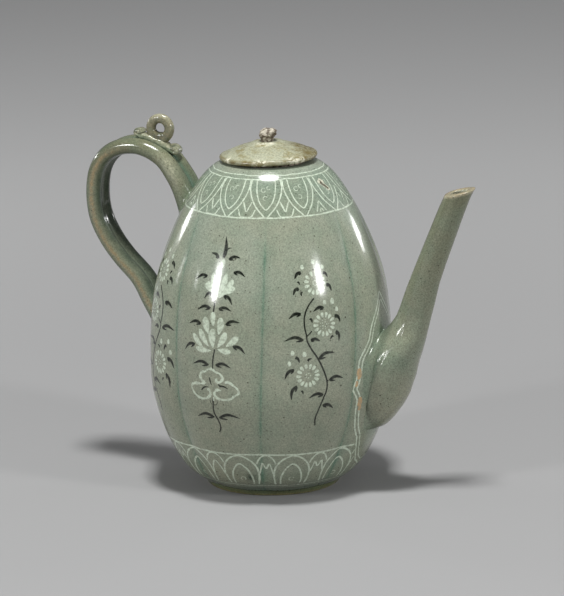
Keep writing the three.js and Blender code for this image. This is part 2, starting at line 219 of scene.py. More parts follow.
class HandCurve:
    """Curve through given points, rounded between them as a bent lath is"""

    def __init__(self, points):
        points = [Vector(p) for p in points]
        self.points = [points[0] * 2 - points[1], *points, points[-1] * 2 - points[-2]]
        self.spans = len(points) - 1
        steps = 40 * self.spans
        self.samples = [self.at(i / steps) for i in range(steps + 1)]
        self.lengths = [0]
        for a, b in zip(self.samples, self.samples[1:]):
            self.lengths.append(self.lengths[-1] + (b - a).length)
        self.length = self.lengths[-1]

    def at(self, share):
        run = min(max(share, 0), 1) * self.spans
        span = min(int(run), self.spans - 1)
        t = run - span
        p0, p1, p2, p3 = self.points[span:span + 4]
        d1 = max((p2 - p1).length ** 0.5, 1e-4)
        d0 = max((p1 - p0).length ** 0.5, 1e-4)
        d2 = max((p3 - p2).length ** 0.5, 1e-4)
        t1 = ((p1 - p0) / d0 - (p2 - p0) / (d0 + d1) + (p2 - p1) / d1) * d1
        t2 = ((p2 - p1) / d1 - (p3 - p1) / (d1 + d2) + (p3 - p2) / d2) * d1
        return (p1 + t1 * t + (3 * (p2 - p1) - 2 * t1 - t2) * t ** 2
                + (2 * (p1 - p2) + t1 + t2) * t ** 3)

    def along(self, share):
        """Point at a share of the curve's length"""
        want = min(max(share, 0), 1) * self.length
        low, high = 0, len(self.lengths) - 1
        while high - low > 1:
            half = (low + high) // 2
            low, high = (half, high) if self.lengths[half] <= want else (low, half)
        step = self.lengths[high] - self.lengths[low]
        part = (want - self.lengths[low]) / step if step else 0
        return self.samples[low].lerp(self.samples[high], part)

    def heading(self, share):
        step = 0.004
        return (self.along(share + step) - self.along(share - step)).normalized()


# Body's outer form

body_curve = HandCurve([(BODY_RADIUS * r, 0, BODY_BASE + BODY_HEIGHT * level) for level, r in BODY_PROFILE])
# Its radii are looked up by level, in steps of this height
LEVEL_STEP = 0.1


def table_of_radii():
    table = []
    samples = body_curve.samples
    after = 1
    count = int((MOUTH_LEVEL - BODY_BASE) / LEVEL_STEP) + 2
    for i in range(count):
        level = BODY_BASE + i * LEVEL_STEP
        while after < len(samples) - 1 and samples[after].z < level:
            after += 1
        low, high = samples[after - 1], samples[after]
        share = min(1, max(0, (level - low.z) / (high.z - low.z)))
        table.append(mix(low.x, high.x, share))
    return table


radii = table_of_radii()


def crown_radius(level):
    place = min(max((level - BODY_BASE) / LEVEL_STEP, 0), len(radii) - 1.001)
    row = int(place)
    return mix(radii[row], radii[row + 1], place - row)


def lean(pressed, level):
    """How far the pressed form is turned at an even angle, because the seams are not plumb"""
    share = min(1.15, max(-0.2, (level - LEAN_LEVELS[0]) / (LEAN_LEVELS[1] - LEAN_LEVELS[0])))
    place = pressed / LOBE_PITCH - 0.5
    first = math.floor(place)
    part = smoothstep(place - first, 0, 1)
    low, high = (SEAM_LEANS[k % LOBES] for k in (first, first + 1))
    return math.radians(mix(mix(*low, share), mix(*high, share), part))


def pressed_angle(angle, level):
    pressed = angle
    for _ in range(4):
        pressed = angle - lean(pressed, level)
    return pressed


def seam_strength(level):
    base, full, waning, end = SEAM_LEVELS
    share = (level - BODY_BASE) / BODY_HEIGHT
    return mix(base, 1, smoothstep(share, 0, full)) * (1 - smoothstep(share, waning, end))


def from_seam(pressed, level):
    """Distance round the pot to the nearest seam, in millimetres"""
    place = pressed / LOBE_PITCH
    return (0.5 - abs(place - round(place))) * LOBE_PITCH * crown_radius(level)


# Depth of the seams, and depth and half width of the line cut along them, as the body's settings give them
pressing = {"seam": 0.0, "line": 0.0, "line_width": 1.0}


def take_sizes(scene):
    sizes = scene.ewer_body
    pressing["seam"] = sizes.seam_depth / MM
    pressing["line"] = sizes.seam_line_depth / MM
    pressing["line_width"] = sizes.seam_line_width / MM


def pressed_radius(pressed, level):
    place = pressed / LOBE_PITCH
    off = 1 - abs(place - round(place)) * 2
    crowned = 1 - (math.hypot(off, SEAM_SOFTNESS) - SEAM_SOFTNESS)
    away = from_seam(pressed, level)
    strength = seam_strength(level)
    groove = pressing["line"] * fade(away, pressing["line_width"])
    share = 1 - pressing["seam"] / BODY_RADIUS * strength * crowned ** SEAM_SHARPNESS
    return crown_radius(level) * share - groove * min(1, strength)


def wall_radius(angle, level):
    return pressed_radius(pressed_angle(angle, level), level)


def on_wall(angle, level, lift=0):
    """Point on the body's outer wall, at an angle in radians and a level, lifted along the wall's normal"""
    r = wall_radius(angle, level)
    point = Vector((r * math.cos(angle), r * math.sin(angle), level))
    return point + wall_normal(angle, level) * lift if lift else point


def wall_normal(angle, level):
    step = 0.15
    turn = step / max(crown_radius(level), 1)
    low, high = max(level - step, BODY_BASE), min(level + step, MOUTH_LEVEL - 0.6)
    round_the_pot = on_wall(angle + turn, level) - on_wall(angle - turn, level)
    return round_the_pot.cross(on_wall(angle, high) - on_wall(angle, low)).normalized()


def normal_at(point):
    """The wall's normal level with a point and at its angle"""
    return wall_normal(math.atan2(point.y, point.x), point.z)


def to_wall(point, lift=0):
    """The wall's point level with another point and at its angle"""
    return on_wall(math.atan2(point.y, point.x), point.z, lift)


def above_wall(point):
    return math.hypot(point.x, point.y) - wall_radius(math.atan2(point.y, point.x), point.z)


# Meshes

def turned(bm, profile, steps):
    """Spins a profile of (radius, level) points about the pot's axis, as a wheel turns it"""
    verts = [bm.verts.new((r, 0, z)) for r, z in profile]
    edges = [bm.edges.new(pair) for pair in zip(verts, verts[1:])]
    bmesh.ops.spin(bm, geom=verts + edges, cent=(0, 0, 0), axis=(0, 0, 1), angle=math.tau,
                   steps=steps, use_merge=True, use_duplicate=False)
    bmesh.ops.remove_doubles(bm, verts=bm.verts, dist=1e-4)


def rolled_sheet(bm, around, along, place, closed_ends=False):
    """Rolls a grid into a tube: place(turn, run) gives each corner by its column and row"""
    made = bmesh.ops.create_grid(bm, x_segments=around, y_segments=along, size=0.5)["verts"]
    kept = []
    for vert in made:
        turn = round((vert.co.x + 0.5) * around) % around
        run = round((vert.co.y + 0.5) * along)
        if closed_ends:
            run %= along
        vert.co = place(turn, run)
        kept.append((vert, turn, run))
    return kept


def quarter_round(start, end, steep_first, steps=6):
    """Points of a quarter round between two (radius, level) points"""
    points = []
    for i in range(steps + 1):
        turn = math.pi / 2 * i / steps
        early, late = math.sin(turn), 1 - math.cos(turn)
        across, up = (late, early) if steep_first else (early, late)
        points.append((mix(start[0], end[0], across), mix(start[1], end[1], up)))
    return points


def section(turn, half_depth, half_width, squareness):
    """Point of a rounded outline at a turn in radians; squareness 2 is an ellipse"""
    c, s = math.cos(turn), math.sin(turn)
    return (half_depth * math.copysign(abs(c) ** (2 / squareness), c),
            half_width * math.copysign(abs(s) ** (2 / squareness), s))


def glaze_marks(bm):
    """Layers that mark where the glaze pooled, ran thin, went cream or carries painted highlights, and where
    painted shade and an iron spot darken it
    """
    return [bm.verts.layers.float.new(name) for name in ("pool", "thin", "pale", "darkened")]


def mark(vert, layers, values):
    for layer, value in zip(layers, values):
        vert[layer] = min(1, max(0, value))


def finished(bm, name, material, body, nodes=(), conform=False):
    """Makes the piece's object in the frame, with smooth faces that point outwards.

    A piece that conforms to the body's wall is also shaded as that wall is.
    """
    bmesh.ops.remove_doubles(bm, verts=bm.verts, dist=1e-4)
    bmesh.ops.recalc_face_normals(bm, faces=bm.faces)
    if bm.calc_volume(signed=True) < 0:
        bmesh.ops.reverse_faces(bm, faces=bm.faces)
    for face in bm.faces:
        face.smooth = True
    normals = [normal_at(v.co) for v in bm.verts] if conform else []
    bmesh.ops.scale(bm, vec=(MM, MM, MM), verts=bm.verts)
    bmesh.ops.translate(bm, vec=AXIS, verts=bm.verts)
    mesh = bpy.data.meshes.new(name)
    bm.to_mesh(mesh)
    bm.free()
    if normals:
        mesh.normals_split_custom_set_from_vertices(normals)
    mesh.materials.append(material)
    piece = bpy.data.objects.new(name, mesh)
    bpy.context.scene.collection.objects.link(piece)
    if nodes:
        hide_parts(*nodes)
    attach(piece, body)


def rolled_piece(name, node, columns, closed_ends):
    """Makes a glazed piece from columns, each of which is a list of points and one of their glaze marks"""
    bm = bmesh.new()
    layers = glaze_marks(bm)
    along = len(columns[0][0]) - (0 if closed_ends else 1)
    for vert, turn, run in rolled_sheet(bm, len(columns), along, lambda t, r: columns[t][0][r], closed_ends):
        mark(vert, layers, columns[turn][1][run])
    finished(bm, name, materials()["spout"], "vessel", [node])


# Materials

def linear(code):
    """sRGB hex colour as a linear one"""
    channels = [int(code[i:i + 2], 16) / 255 for i in (1, 3, 5)]
    return (*[c / 12.92 if c <= 0.04045 else ((c + 0.055) / 1.055) ** 2.4 for c in channels], 1)


class Finish:
    """One finish, whose colour is laid up tone by tone on the piece's own coordinates"""

    def __init__(self, name, colour):
        self.material = bpy.data.materials.new(name)
        self.material.use_nodes = True
        self.tree = self.material.node_tree
        self.tree.nodes.clear()
        self.place = self.add("TexCoord", "Object")
        self.colour = colour

    def add(self, kind, output, inputs=None, **settings):
        """Adds a node with its settings, its socket values and its links, and gives one of its outputs"""
        node = self.tree.nodes.new("ShaderNode" + kind)
        for name, value in settings.items():
            setattr(node, name, value)
        for name, value in (inputs or {}).items():
            if isinstance(value, bpy.types.NodeSocket):
                self.tree.links.new(value, node.inputs[name])
            else:
                node.inputs[name].default_value = value
        return None if output is None else node.outputs[output]

    def patches(self, size, detail, roughness, low, high, least=0.0, most=1.0):
        """Soft patches of a size in millimetres, from least to most as their noise goes from low to high"""
        value = self.add("TexNoise", 0, {"Vector": self.place, "Scale": 1 / (size * MM), "Detail": detail,
                                         "Roughness": roughness})
        return self.add("MapRange", 0, {"Value": value, "From Min": low, "From Max": high, "To Min": least,
                                        "To Max": most}, interpolation_type="SMOOTHSTEP")

    def marked(self, name):
        """Share by which the piece itself is marked"""
        return self.add("Attribute", "Fac", attribute_name=name)

    def lay(self, tone, share, *others):
        """Lays a tone over the colour, by the product of the shares"""
        for other in others:
            share = self.add("Math", 0, {0: share, 1: other}, operation="MULTIPLY")
        self.colour = self.add("Mix", 2, {0: share, 6: self.colour, 7: tone}, data_type="RGBA")

    def grain(self, size, detail, roughness):
        """Fine grain of bubbles in the glaze"""
        value = self.patches(size, detail, roughness, 0.3, 0.7, 0.72, 1.2)
        grey = self.add("CombineColor", 0, {0: value, 1: value, 2: value})
        self.colour = self.add("Mix", 2, {0: 1.0, 6: self.colour, 7: grey}, data_type="RGBA",
                               blend_type="MULTIPLY")

    def specks(self, tone, spacing, radius, strongest):
        """Round specks, one to each cell of that spacing, with soft edges, each of its own strength"""
        near = self.add("TexVoronoi", "Distance", {"Vector": self.place, "Scale": 1 / (spacing * MM),
                                                   "Randomness": 1.0})
        own = self.add("SeparateColor", 0, {"Color": near.node.outputs["Color"]})
        spot = self.add("MapRange", 0, {"Value": near, "From Min": radius / spacing * 0.45,
                                        "From Max": radius / spacing, "To Min": 1, "To Max": 0},
                        interpolation_type="SMOOTHSTEP")
        own = self.add("MapRange", 0, {"Value": own, "From Min": 0.35, "From Max": 1},
                       interpolation_type="SMOOTHSTEP")
        self.lay(tone, spot, own, strongest)

    def uneven(self, size, rise, strength, detail=2, roughness=0.5):
        """Normals of a surface that is uneven at that size, by that rise in millimetres"""
        height = self.add("TexNoise", 0, {"Vector": self.place, "Scale": 1 / (size * MM), "Detail": detail,
                                          "Roughness": roughness})
        return self.add("Bump", 0, {"Height": height, "Strength": strength, "Distance": rise * MM})

    def surface(self, roughness, values):
        """Ends the finish in one shader, with further values or links for its own sockets"""
        shader = self.add("BsdfPrincipled", 0, {"Base Color": self.colour, "Roughness": roughness, **values})
        self.add("OutputMaterial", None, {"Surface": shader})
        return self.material


def celadon(name, tones, tint=None, tinted=(0.0, 0.0)):
    """The celadon glaze over grey clay, as on every piece that it covers.

    It gives drifts of greener and browner grey, a fine grain of bubbles, iron specks, and where
    the piece is marked so: green pools, brown crests, cream glaze and painted highlights, and painted
    shade, which also darkens an iron spot.
    """
    glaze = Finish(name, tones.low_colour)
    level = glaze.add("SeparateXYZ", "Z", {"Vector": glaze.place})
    height = glaze.add("MapRange", 0, {"Value": level, "From Min": 0.01, "From Max": 0.175})
    glaze.lay(tones.high_colour, height)
    glaze.lay(tones.drift_colour, glaze.patches(48, 2, 0.5, 0.35, 0.65))
    if tint is not None:
        glaze.lay(tint, glaze.add("MapRange", 0, {"Value": level, "From Min": 0.04, "From Max": 0.18,
                                                  "To Min": tinted[0], "To Max": tinted[1]}))
    glaze.lay(tones.pooled_colour, glaze.patches(9, 4, 0.5, 0.38, 0.66, 0.0, 0.16))
    # Pale marks cream glaze and painted highlights; the darkened mark is painted shade on flanks, undersides
    # and in the spout's bore, and also an iron spot
    for mark_name, tone, size, least in (
            ("pool", tones.pooled_colour, 6, 0.7), ("darkened", tones.shade_and_iron_colour, 5, 0.6),
            ("thin", tones.thin_colour, 2.4, 0.3), ("pale", tones.cream_and_highlight_colour, 2.2, 0.45)):
        glaze.lay(tone, glaze.marked(mark_name), glaze.patches(size, 4, 0.65, 0.35, 0.62, least))
    glaze.grain(0.85, 3, 0.7)
    # the finest specks are really half as wide, and are drawn wide enough to show
    for spacing, radius, strongest in ((2.1, 0.5, 0.75), (4.4, 0.6, 0.85), (13, 0.75, 0.95)):
        glaze.specks(tones.speck_colour, spacing, radius, strongest)
    return glaze


def glossy(glaze, tones):
    """Glassy surface with a faint waviness, which softens the edges of its sharp pale highlights"""
    return glaze.surface(tones.gloss_roughness, {"Normal": glaze.uneven(5, 0.03, 0.35), "IOR": CERAMIC_IOR})


def celadon_glaze(name, tones, tint=None, tinted=(0.0, 0.0)):
    """Fired celadon glaze over grey stoneware: glassy and grey green"""
    return glossy(celadon(name, tones, tint, tinted), tones)


def slip_under_glaze(name, tones, slip, thinnest, fullest):
    """Slip inlaid in the clay and covered by the same glaze: flush, just as glossy, soft at its edges"""
    glaze = celadon(name, tones)
    glaze.lay(slip, glaze.marked("core"), glaze.patches(1.7, 4, 0.6, 0.32, 0.62, thinnest, fullest))
    return glossy(glaze, tones)


def lid_glaze(tones):
    """Glaze fired yellower and drier on the lid: olive and mottled, burnt brown at the rim, blistered pale"""
    glaze = Finish("lid_olive_glaze_fired", tones.lid_colour)
    glaze.lay(tones.lid_brown, glaze.patches(6, 5, 0.7, 0.45, 0.66))
    glaze.grain(1, 4, 0.75)
    glaze.lay(tones.burnt_colour, glaze.marked("thin"), glaze.patches(2.2, 4, 0.7, 0.36, 0.6, 0.4))
    glaze.lay(tones.blister_colour, glaze.marked("pale"), glaze.patches(1.8, 3, 0.5, 0.42, 0.55))
    glaze.specks(tones.speck_colour, 1.9, 0.5, 0.55)
    return glaze.surface(0.27, {"Normal": glaze.uneven(2, 0.05, 0.5), "IOR": CERAMIC_IOR})


def bare_stoneware(name, tones, pale, low, high):
    """Unglazed, wood-fired stoneware: matt, pinkish and gritty, with dark clay between pale patches laid at
    random
    """
    clay = Finish(name, tones.bare_dark)
    clay.lay(pale, clay.patches(2.6, 4, 0.65, low, high))
    return clay.surface(0.75, {"Normal": clay.uneven(0.6, 0.1, 0.6, 3, 0.6), "IOR": CERAMIC_IOR})


@cache
def materials():
    """The finishes by the piece that they are for"""
    tones = bpy.context.scene.ewer_glazes
    return {
        "body": celadon_glaze("celadon_glaze_over_grey_stoneware", tones),
        "spout": celadon_glaze("celadon_glaze_olive", tones, tones.olive_colour, (0.02, 0.74)),
        "foot": celadon_glaze("celadon_glaze_pooled_at_foot", tones, tones.foot_colour, (0.85, 0.85)),
        "lid": lid_glaze(tones),
        "bare": bare_stoneware("bare_stoneware_fired", tones, tones.bare_colour, 0.35, 0.62),
        "knob": bare_stoneware("bare_stoneware_blistered", tones, tones.knob_colour, 0.42, 0.6),
        "white": slip_under_glaze("white_slip_under_celadon_glaze", tones, tones.white_slip, 0.34, 0.8),
        "black": slip_under_glaze("black_slip_under_celadon_glaze", tones, tones.black_slip, 0.86, 1.0),
        "blister": slip_under_glaze("blistered_glaze_spot", tones, tones.blister_colour, 0.2, 0.9),
        "scar": slip_under_glaze("burnt_clay_scar", tones, tones.bare_dark, 0.6, 1.0),
        "rust": slip_under_glaze("rust_spots_in_glaze", tones, tones.rust_colour, 0.45, 0.95),
    }


# Settings

def colour_setting(name, description, code):
    return FloatVectorProperty(name=name, description=description, subtype="COLOR", size=4,
                               min=0, max=1, default=linear(code))


def length_setting(name, description, size, least, most):
    """Setting of a length, its values given in millimetres"""
    return FloatProperty(name=name, description=description, default=size * MM, min=least * MM,
                         max=most * MM, precision=5, unit="LENGTH")


class EwerBodySizes(bpy.types.PropertyGroup):
    """Sizes of the pressed body that a user may change"""

    seam_depth: length_setting(
        "Seam depth", "How far a seam lies below the crowns of the lobes", 2.4, 0, 4)
    seam_line_depth: length_setting(
        "Incised line depth", "Depth of the line cut along each seam", 0.1, 0, 1)
    seam_line_width: length_setting(
        "Incised line width", "Half width of the line cut along each seam", 0.55, 0.1, 2)


class EwerInlaySizes(bpy.types.PropertyGroup):
    """Sizes of the slip inlay that a user may change"""

    line_width: length_setting("Slip line width", "Width of the white lines of the petal bands", 1.05, 0.3, 2)
    leaf_width: length_setting("Leaf width", "Width of a black leaf at its belly", 2.15, 1, 5)
    stem_width: length_setting("Stem width", "Width of the black stems", 1.1, 0.3, 2)


class EwerLidSizes(bpy.types.PropertyGroup):
    """How the lid sits"""

    tilt: FloatProperty(
        name="Lid tilt", description="How far the warped lid rises on the spout's side",
        default=math.radians(1.6), min=0, max=math.radians(3), subtype="ANGLE")


class EwerGlazes(bpy.types.PropertyGroup):
    """Colours of the glazes, the slips and the bare clay"""

    high_colour: colour_setting("Upper glaze", "Glaze on the shoulder", "#8c9687")
    low_colour: colour_setting("Lower glaze", "Glaze on the lower wall", "#8d8e7a")
    drift_colour: colour_setting("Grey drift", "Glaze where the grey clay shows through", "#8a8f7d")
    pooled_colour: colour_setting("Pooled glaze", "Glaze where it lies thick", "#597663")
    # Colour of cream glaze at the spout's lip and of the painted highlights on the handle, the saddle and the
    # cord loop
    cream_and_highlight_colour: colour_setting("Cream crests", "Glaze run off to cream on sharp crests", "#b9b7a0")
    thin_colour: colour_setting("Thin glaze", "Glaze where it ran thin over a crest", "#96805d")
    speck_colour: colour_setting("Iron specks", "Specks of iron in the clay", "#3d3b2e")
    olive_colour: colour_setting("Olive glaze", "Glaze on the spout and the handle", "#5d5c3f")
    foot_colour: colour_setting("Foot glaze", "Glaze that ran down and pooled at the foot", "#505630")
    # Colour of painted shade on the handle's flanks and inner side, the loop, the saddle, the spout's bore
    # and lowest part, and of a dark iron spot on the body
    shade_and_iron_colour: colour_setting("Deep glaze", "Glaze that lies deep and dark on undersides", "#36453a")
    white_slip: colour_setting("White slip", "White slip under the glaze", "#cddac6")
    black_slip: colour_setting("Black slip", "Iron black slip under the glaze", "#10160f")
    lid_colour: colour_setting("Lid glaze", "Olive glaze on the lid", "#a2a48c")
    lid_brown: colour_setting("Lid brown", "Browner patches on the lid", "#8a8460")
    burnt_colour: colour_setting("Burnt rim", "Glaze burnt at the lid's rim", "#665a32")
    blister_colour: colour_setting("Blisters", "Pale blistered glaze on the lid", "#d8d6c0")
    bare_colour: colour_setting("Bare clay", "Unglazed stoneware", "#c9b7a4")
    knob_colour: colour_setting("Knob", "Blistered bare clay of the knob", "#b9b3a2")
    # Dark bare clay shows at random between the pale patches
    bare_dark: colour_setting("Dark bare clay", "Unglazed stoneware in its hollows", "#54483a")
    rust_colour: colour_setting("Rust spots", "Bare clay that fired orange", "#b5966e")
    gloss_roughness: FloatProperty(
        name="Gloss roughness", description="Roughness of the fired glaze", default=0.15, min=0.02, max=0.6)


class EwerStudio(bpy.types.PropertyGroup):
    """Camera and lamps"""

    camera_azimuth: FloatProperty(
        name="Camera azimuth", description="Camera's turn from the front toward the spout",
        default=math.radians(24), subtype="ANGLE")
    camera_elevation: FloatProperty(
        name="Camera elevation", description="Camera's angle above the table",
        default=math.radians(13.3), subtype="ANGLE")
    camera_distance: FloatProperty(
        name="Camera distance", description="From the camera to the pot's axis",
        default=2.4, min=0.5, max=10, unit="LENGTH")
    camera_roll: FloatProperty(
        name="Camera roll", description="Slight lean of the picture",
        default=math.radians(0.9), subtype="ANGLE")
    lamp_share: FloatProperty(
        name="Lamp strength", description="Strength of all the lamps together", default=1.0, min=0, max=5)
    floor_colour: colour_setting("Floor", "Pale grey paper near the pot", "#929292")
    # The far colour is painted light: the paper is painted paler away from the pot to make up for the lamps'
    # fall-off
    far_colour: colour_setting("Far floor", "Grey of the paper far from the pot", "#a2a2a2")


# Body and foot

def spread_columns(angle):
    """Crowds a turned form's columns toward the seams, where the wall bends most"""
    place = angle / LOBE_PITCH - 0.5
    seam = round(place)
    off = place - seam
    return (seam + 0.5 + math.copysign(abs(2 * off) ** 1.5 / 2, off)) * LOBE_PITCH


def body_profile():
    """The body's wall in half section, from the middle of its base round to the middle of its floor"""
    outer_rows, inner_rows = BODY_ROWS
    outer = [body_curve.along(i / outer_rows) for i in range(outer_rows + 1)]
    inner = []
    for i in range(inner_rows, -1, -1):
        point, run = body_curve.along(i / inner_rows), body_curve.heading(i / inner_rows)
        r, z = point.x - run.z * BODY_WALL, point.z + run.x * BODY_WALL
        in_reach = BODY_BASE + FLOOR + BODY_WALL / 2 < z < MOUTH_LEVEL - BODY_WALL
        if r > MOUTH_RADIUS + BODY_WALL / 2 and in_reach:
            inner.append((r, z))
    throat = inner[0][1] + BODY_WALL / 2
    rim_out, rim_in = MOUTH_RADIUS + MOUTH_RIM, MOUTH_RADIUS
    floor_out = inner[-1][0] - BODY_WALL
    return [
        *[(outer[0].x * i / 12, BODY_BASE) for i in range(12)],
        *[(p.x, p.z) for p in outer],
        (mix(outer[-1].x, rim_out, 0.5), mix(outer[-1].z, MOUTH_LEVEL, 0.6)),
        *quarter_round((rim_out, MOUTH_LEVEL), (rim_in + 1, MOUTH_LEVEL), True, 2),
        *quarter_round((rim_in + 0.9, MOUTH_LEVEL), (rim_in, MOUTH_LEVEL - 0.9), False, 4),
        *[(rim_in, mix(MOUTH_LEVEL - 0.9, throat, i / 4)) for i in range(1, 5)],
        *inner,
        *[(floor_out * (1 - i / 10), BODY_BASE + FLOOR) for i in range(11)],
    ]


def pool_at(pressed, level):
    """How thick the glaze lies on the body: in the seams, round the bands and over the foot"""
    away = from_seam(pressed, level)
    strength = min(1, seam_strength(level) + 0.12)
    waver = 0.72 + 0.5 * noise.noise(Vector((round(pressed / LOBE_PITCH - 0.5) * 7.1, 0, level / 11)))
    pool = (0.66 * fade(away, 0.8) + 0.34 * fade(away, 4)) * strength * waver
    pool += 0.55 * waver * fade(away, 2.2) * smoothstep(level, 8, 14) * (1 - smoothstep(level, 22, 28))
    pool += 0.3 * smoothstep(level, 158, 162) * (1 - smoothstep(level, 178, 181))
    pool += 0.08 * smoothstep(30 - level, 0, 3)
    return pool + 0.35 * (1 - smoothstep(level, 4, 9.5))


def pool_at_roots(point, spout_join, handle_join):
    """How thick the glaze lies where the spout and the handle are luted on"""
    pool = 0
    for joins, side in ((spout_join, 1), (handle_join, -1)):
        if point.x * side > 20 and abs(point.y) < 40:
            pool += 0.45 * fade(min((point - j).length for j in joins), 6)
    return pool


def open_pour_hole(bm):
    """Cuts the hole behind the spout through both walls and lines it"""
    cut, edges = [], []
    middle_of_wall = wall_radius(0, POUR_LEVEL) - BODY_WALL / 2
    for inside in (False, True):
        faces = []
        for face in bm.faces:
            c = face.calc_center_median()
            behind_spout = c.x > 20 and math.hypot(c.y, c.z - POUR_LEVEL) < POUR_HOLE
            if behind_spout and (c.x < middle_of_wall) == inside:
                faces.append(face)
        rim = {e for f in faces for e in f.edges if sum(g in faces for g in e.link_faces) == 1}
        for vert in {v for e in rim for v in e.verts}:
            off = Vector((0, vert.co.y, vert.co.z - POUR_LEVEL)).normalized() * POUR_HOLE
            vert.co.y, vert.co.z = off.y, POUR_LEVEL + off.z
        cut += faces
        edges += rim
    bmesh.ops.delete(bm, geom=cut, context="FACES")
    bmesh.ops.bridge_loops(bm, edges=[e for e in edges if e.is_valid])


class EWER_OT_body(bpy.types.Operator):
    """Throws the body, presses its eight lobes and cuts the pour hole"""

    bl_idname = "ewer.body"
    bl_label = "Body"

    def execute(self, context):
        take_sizes(context.scene)
        bm = bmesh.new()
        pool = bm.verts.layers.float.new("pool")
        darkened = bm.verts.layers.float.new("darkened")
        spot = on_wall(math.radians(IRON_SPOT[0]), IRON_SPOT[1])
        turned(bm, body_profile(), LOBES * LOBE_COLUMNS)
        spout_join = [join for join, _, _ in spout_roots(24)]
        handle_join = [join for end in (0, 1) for join, _, _ in handle_roots(end, 20)]
        for vert in bm.verts:
            r, z = math.hypot(vert.co.x, vert.co.y), vert.co.z
            if r < 1e-3:
                continue
            pressed = spread_columns(math.atan2(vert.co.y, vert.co.x))
            angle = pressed + lean(pressed, z)
            share = pressed_radius(pressed, z) / crown_radius(z)
            vert.co.x, vert.co.y = r * share * math.cos(angle), r * share * math.sin(angle)
            if abs(r - crown_radius(z)) < 0.2:
                vert[pool] = min(1, pool_at(pressed, z) + pool_at_roots(vert.co, spout_join, handle_join))
                vert[darkened] = fade((vert.co - spot).length, IRON_SPOT[2])
        open_pour_hole(bm)
        finished(bm, "body_pressed_wall", materials()["body"], "vessel", ["body"])
        return {"FINISHED"}


class EWER_OT_foot(bpy.types.Operator):
    """Turns the low foot ring, with its glaze worn off the standing edge"""

    bl_idname = "ewer.foot"
    bl_label = "Foot ring"

    def execute(self, context):
        take_sizes(context.scene)
        inside = FOOT_BASE_RADIUS - FOOT_WALL
        bm = bmesh.new()
        thin = bm.verts.layers.float.new("thin")
        turned(bm, [
            (inside + 0.8, 0), *quarter_round((FOOT_BASE_RADIUS - 0.8, 0), (FOOT_BASE_RADIUS, 0.8), False, 5),
            (mix(FOOT_BASE_RADIUS, FOOT_TOP_RADIUS, 0.3), 1.9), (FOOT_TOP_RADIUS, FOOT_HEIGHT),
            (FOOT_TOP_RADIUS - 8.4, FOOT_HEIGHT), (inside, 1.9),
            *quarter_round((inside, 0.8), (inside + 0.8, 0), True, 5),
        ], 160)
        for vert in bm.verts:
            vert[thin] = 0.4 * (1 - smoothstep(vert.co.z, 0.35, 1.5))
        finished(bm, "foot_ring_turned", materials()["foot"], "vessel", ["foot_ring"])
        return {"FINISHED"}


# Spout

spout_centres = HandCurve([
    (BODY_RADIUS + SPOUT_OUTREACH * reach, 0, mix(SPOUT_ROOT, SPOUT_TIP, level))
    for level, reach, _, _ in SPOUT_RINGS
])
spout_halves = HandCurve([
    (mix(*SPOUT_DEPTHS, depth) / 2, mix(*SPOUT_WIDTHS, width) / 2, 0) for _, _, depth, width in SPOUT_RINGS
])


def spout_point(turn, share, wall=0.0):
    """Point that lies the wall's thickness inside the spout's outline, which is pared a little unevenly"""
    centre, half = spout_centres.at(share), spout_halves.at(share)
    tilt = math.tan(SPOUT_TILT) * smoothstep(share, 0.5, 1)
    pared = 0.3 * noise.noise(Vector((math.cos(turn) * 1.7, math.sin(turn) * 1.7, share * 7)))
    x, y = section(turn, max(half.x - wall + pared, 0.3), max(half.y - wall + pared, 0.3), 2)
    dip = SPOUT_DIP * smoothstep(share, 0.9, 1)
    return Vector((centre.x + x, y, centre.z + x * tilt + y * dip))


def leaves_wall(place, outside, inside):
    """Share at which a column of a luted piece comes out of the body, searched from outside"""
    steps = 90
    last = outside
    for i in range(1, steps + 1):
        here = mix(outside, inside, i / steps)
        if above_wall(place(here)) < 0:
            low, high = here, last
            for _ in range(16):
                half = (low + high) / 2
                low, high = (half, high) if above_wall(place(half)) < 0 else (low, half)
            return high
        last = here
    return inside


def luted_column(place, centre, outside, inside, width, rows):
    """One column of a luted piece's root.

    It gives the point where the piece meets the wall, the points from under the wall up a fillet
    of slip, and the share of the piece's length at which the fillet ends.
    """
    start = leaves_wall(place, outside, inside)
    join = place(start)
    normal = normal_at(join)
    away = (join - centre(start)).normalized()
    away = (away - normal * away.dot(normal)).normalized()
    spread = to_wall(join + away * width)
    step = (outside - inside) * 0.002
    end = start
    while (place(end) - join).length < width and abs(end - outside) > abs(step):
        end += step
    top = place(end)
    sunk = normal_at(spread)
    column = [spread - sunk * ROOT_SINK, spread - sunk * 0.06]
    for i in range(1, rows):
        t = i / rows
        column.append(spread * (1 - t) ** 2 + join * 2 * t * (1 - t) + top * t ** 2)
    return join, column, end


def spout_roots(columns):
    least, sides, below = SPOUT_FILLETS
    found = []
    for turn in turns(columns):
        width = least + sides * math.sin(turn) ** 2 + below * max(0, math.cos(turn)) ** 2
        found.append(luted_column(lambda share: spout_point(turn, share),
                                  spout_centres.at, 0.999, 0.0, width, 8))
    return found


def spout_marks(turn, share, end):
    """Glaze marks down the spout's outside, which comes out of its fillet at the end share; its lowest part
    is painted with shade
    """
    left = max(0, math.cos(turn + math.radians(85)))
    right = max(0, math.cos(turn + math.radians(10)))
    return (0.28 * (1 - smoothstep(share - end, 0, 0.1)) + 0.4 * left * fade(share - 0.46, 0.07),
            0.12 * right * (1 - smoothstep(share, 0.25, 0.4)) + 0.8 * smoothstep(share, 0.966, 0.985),
            0.5 * smoothstep(share, 0.96, 0.986),
            0.15 * (1 - smoothstep(share, 0.05, 0.2)))


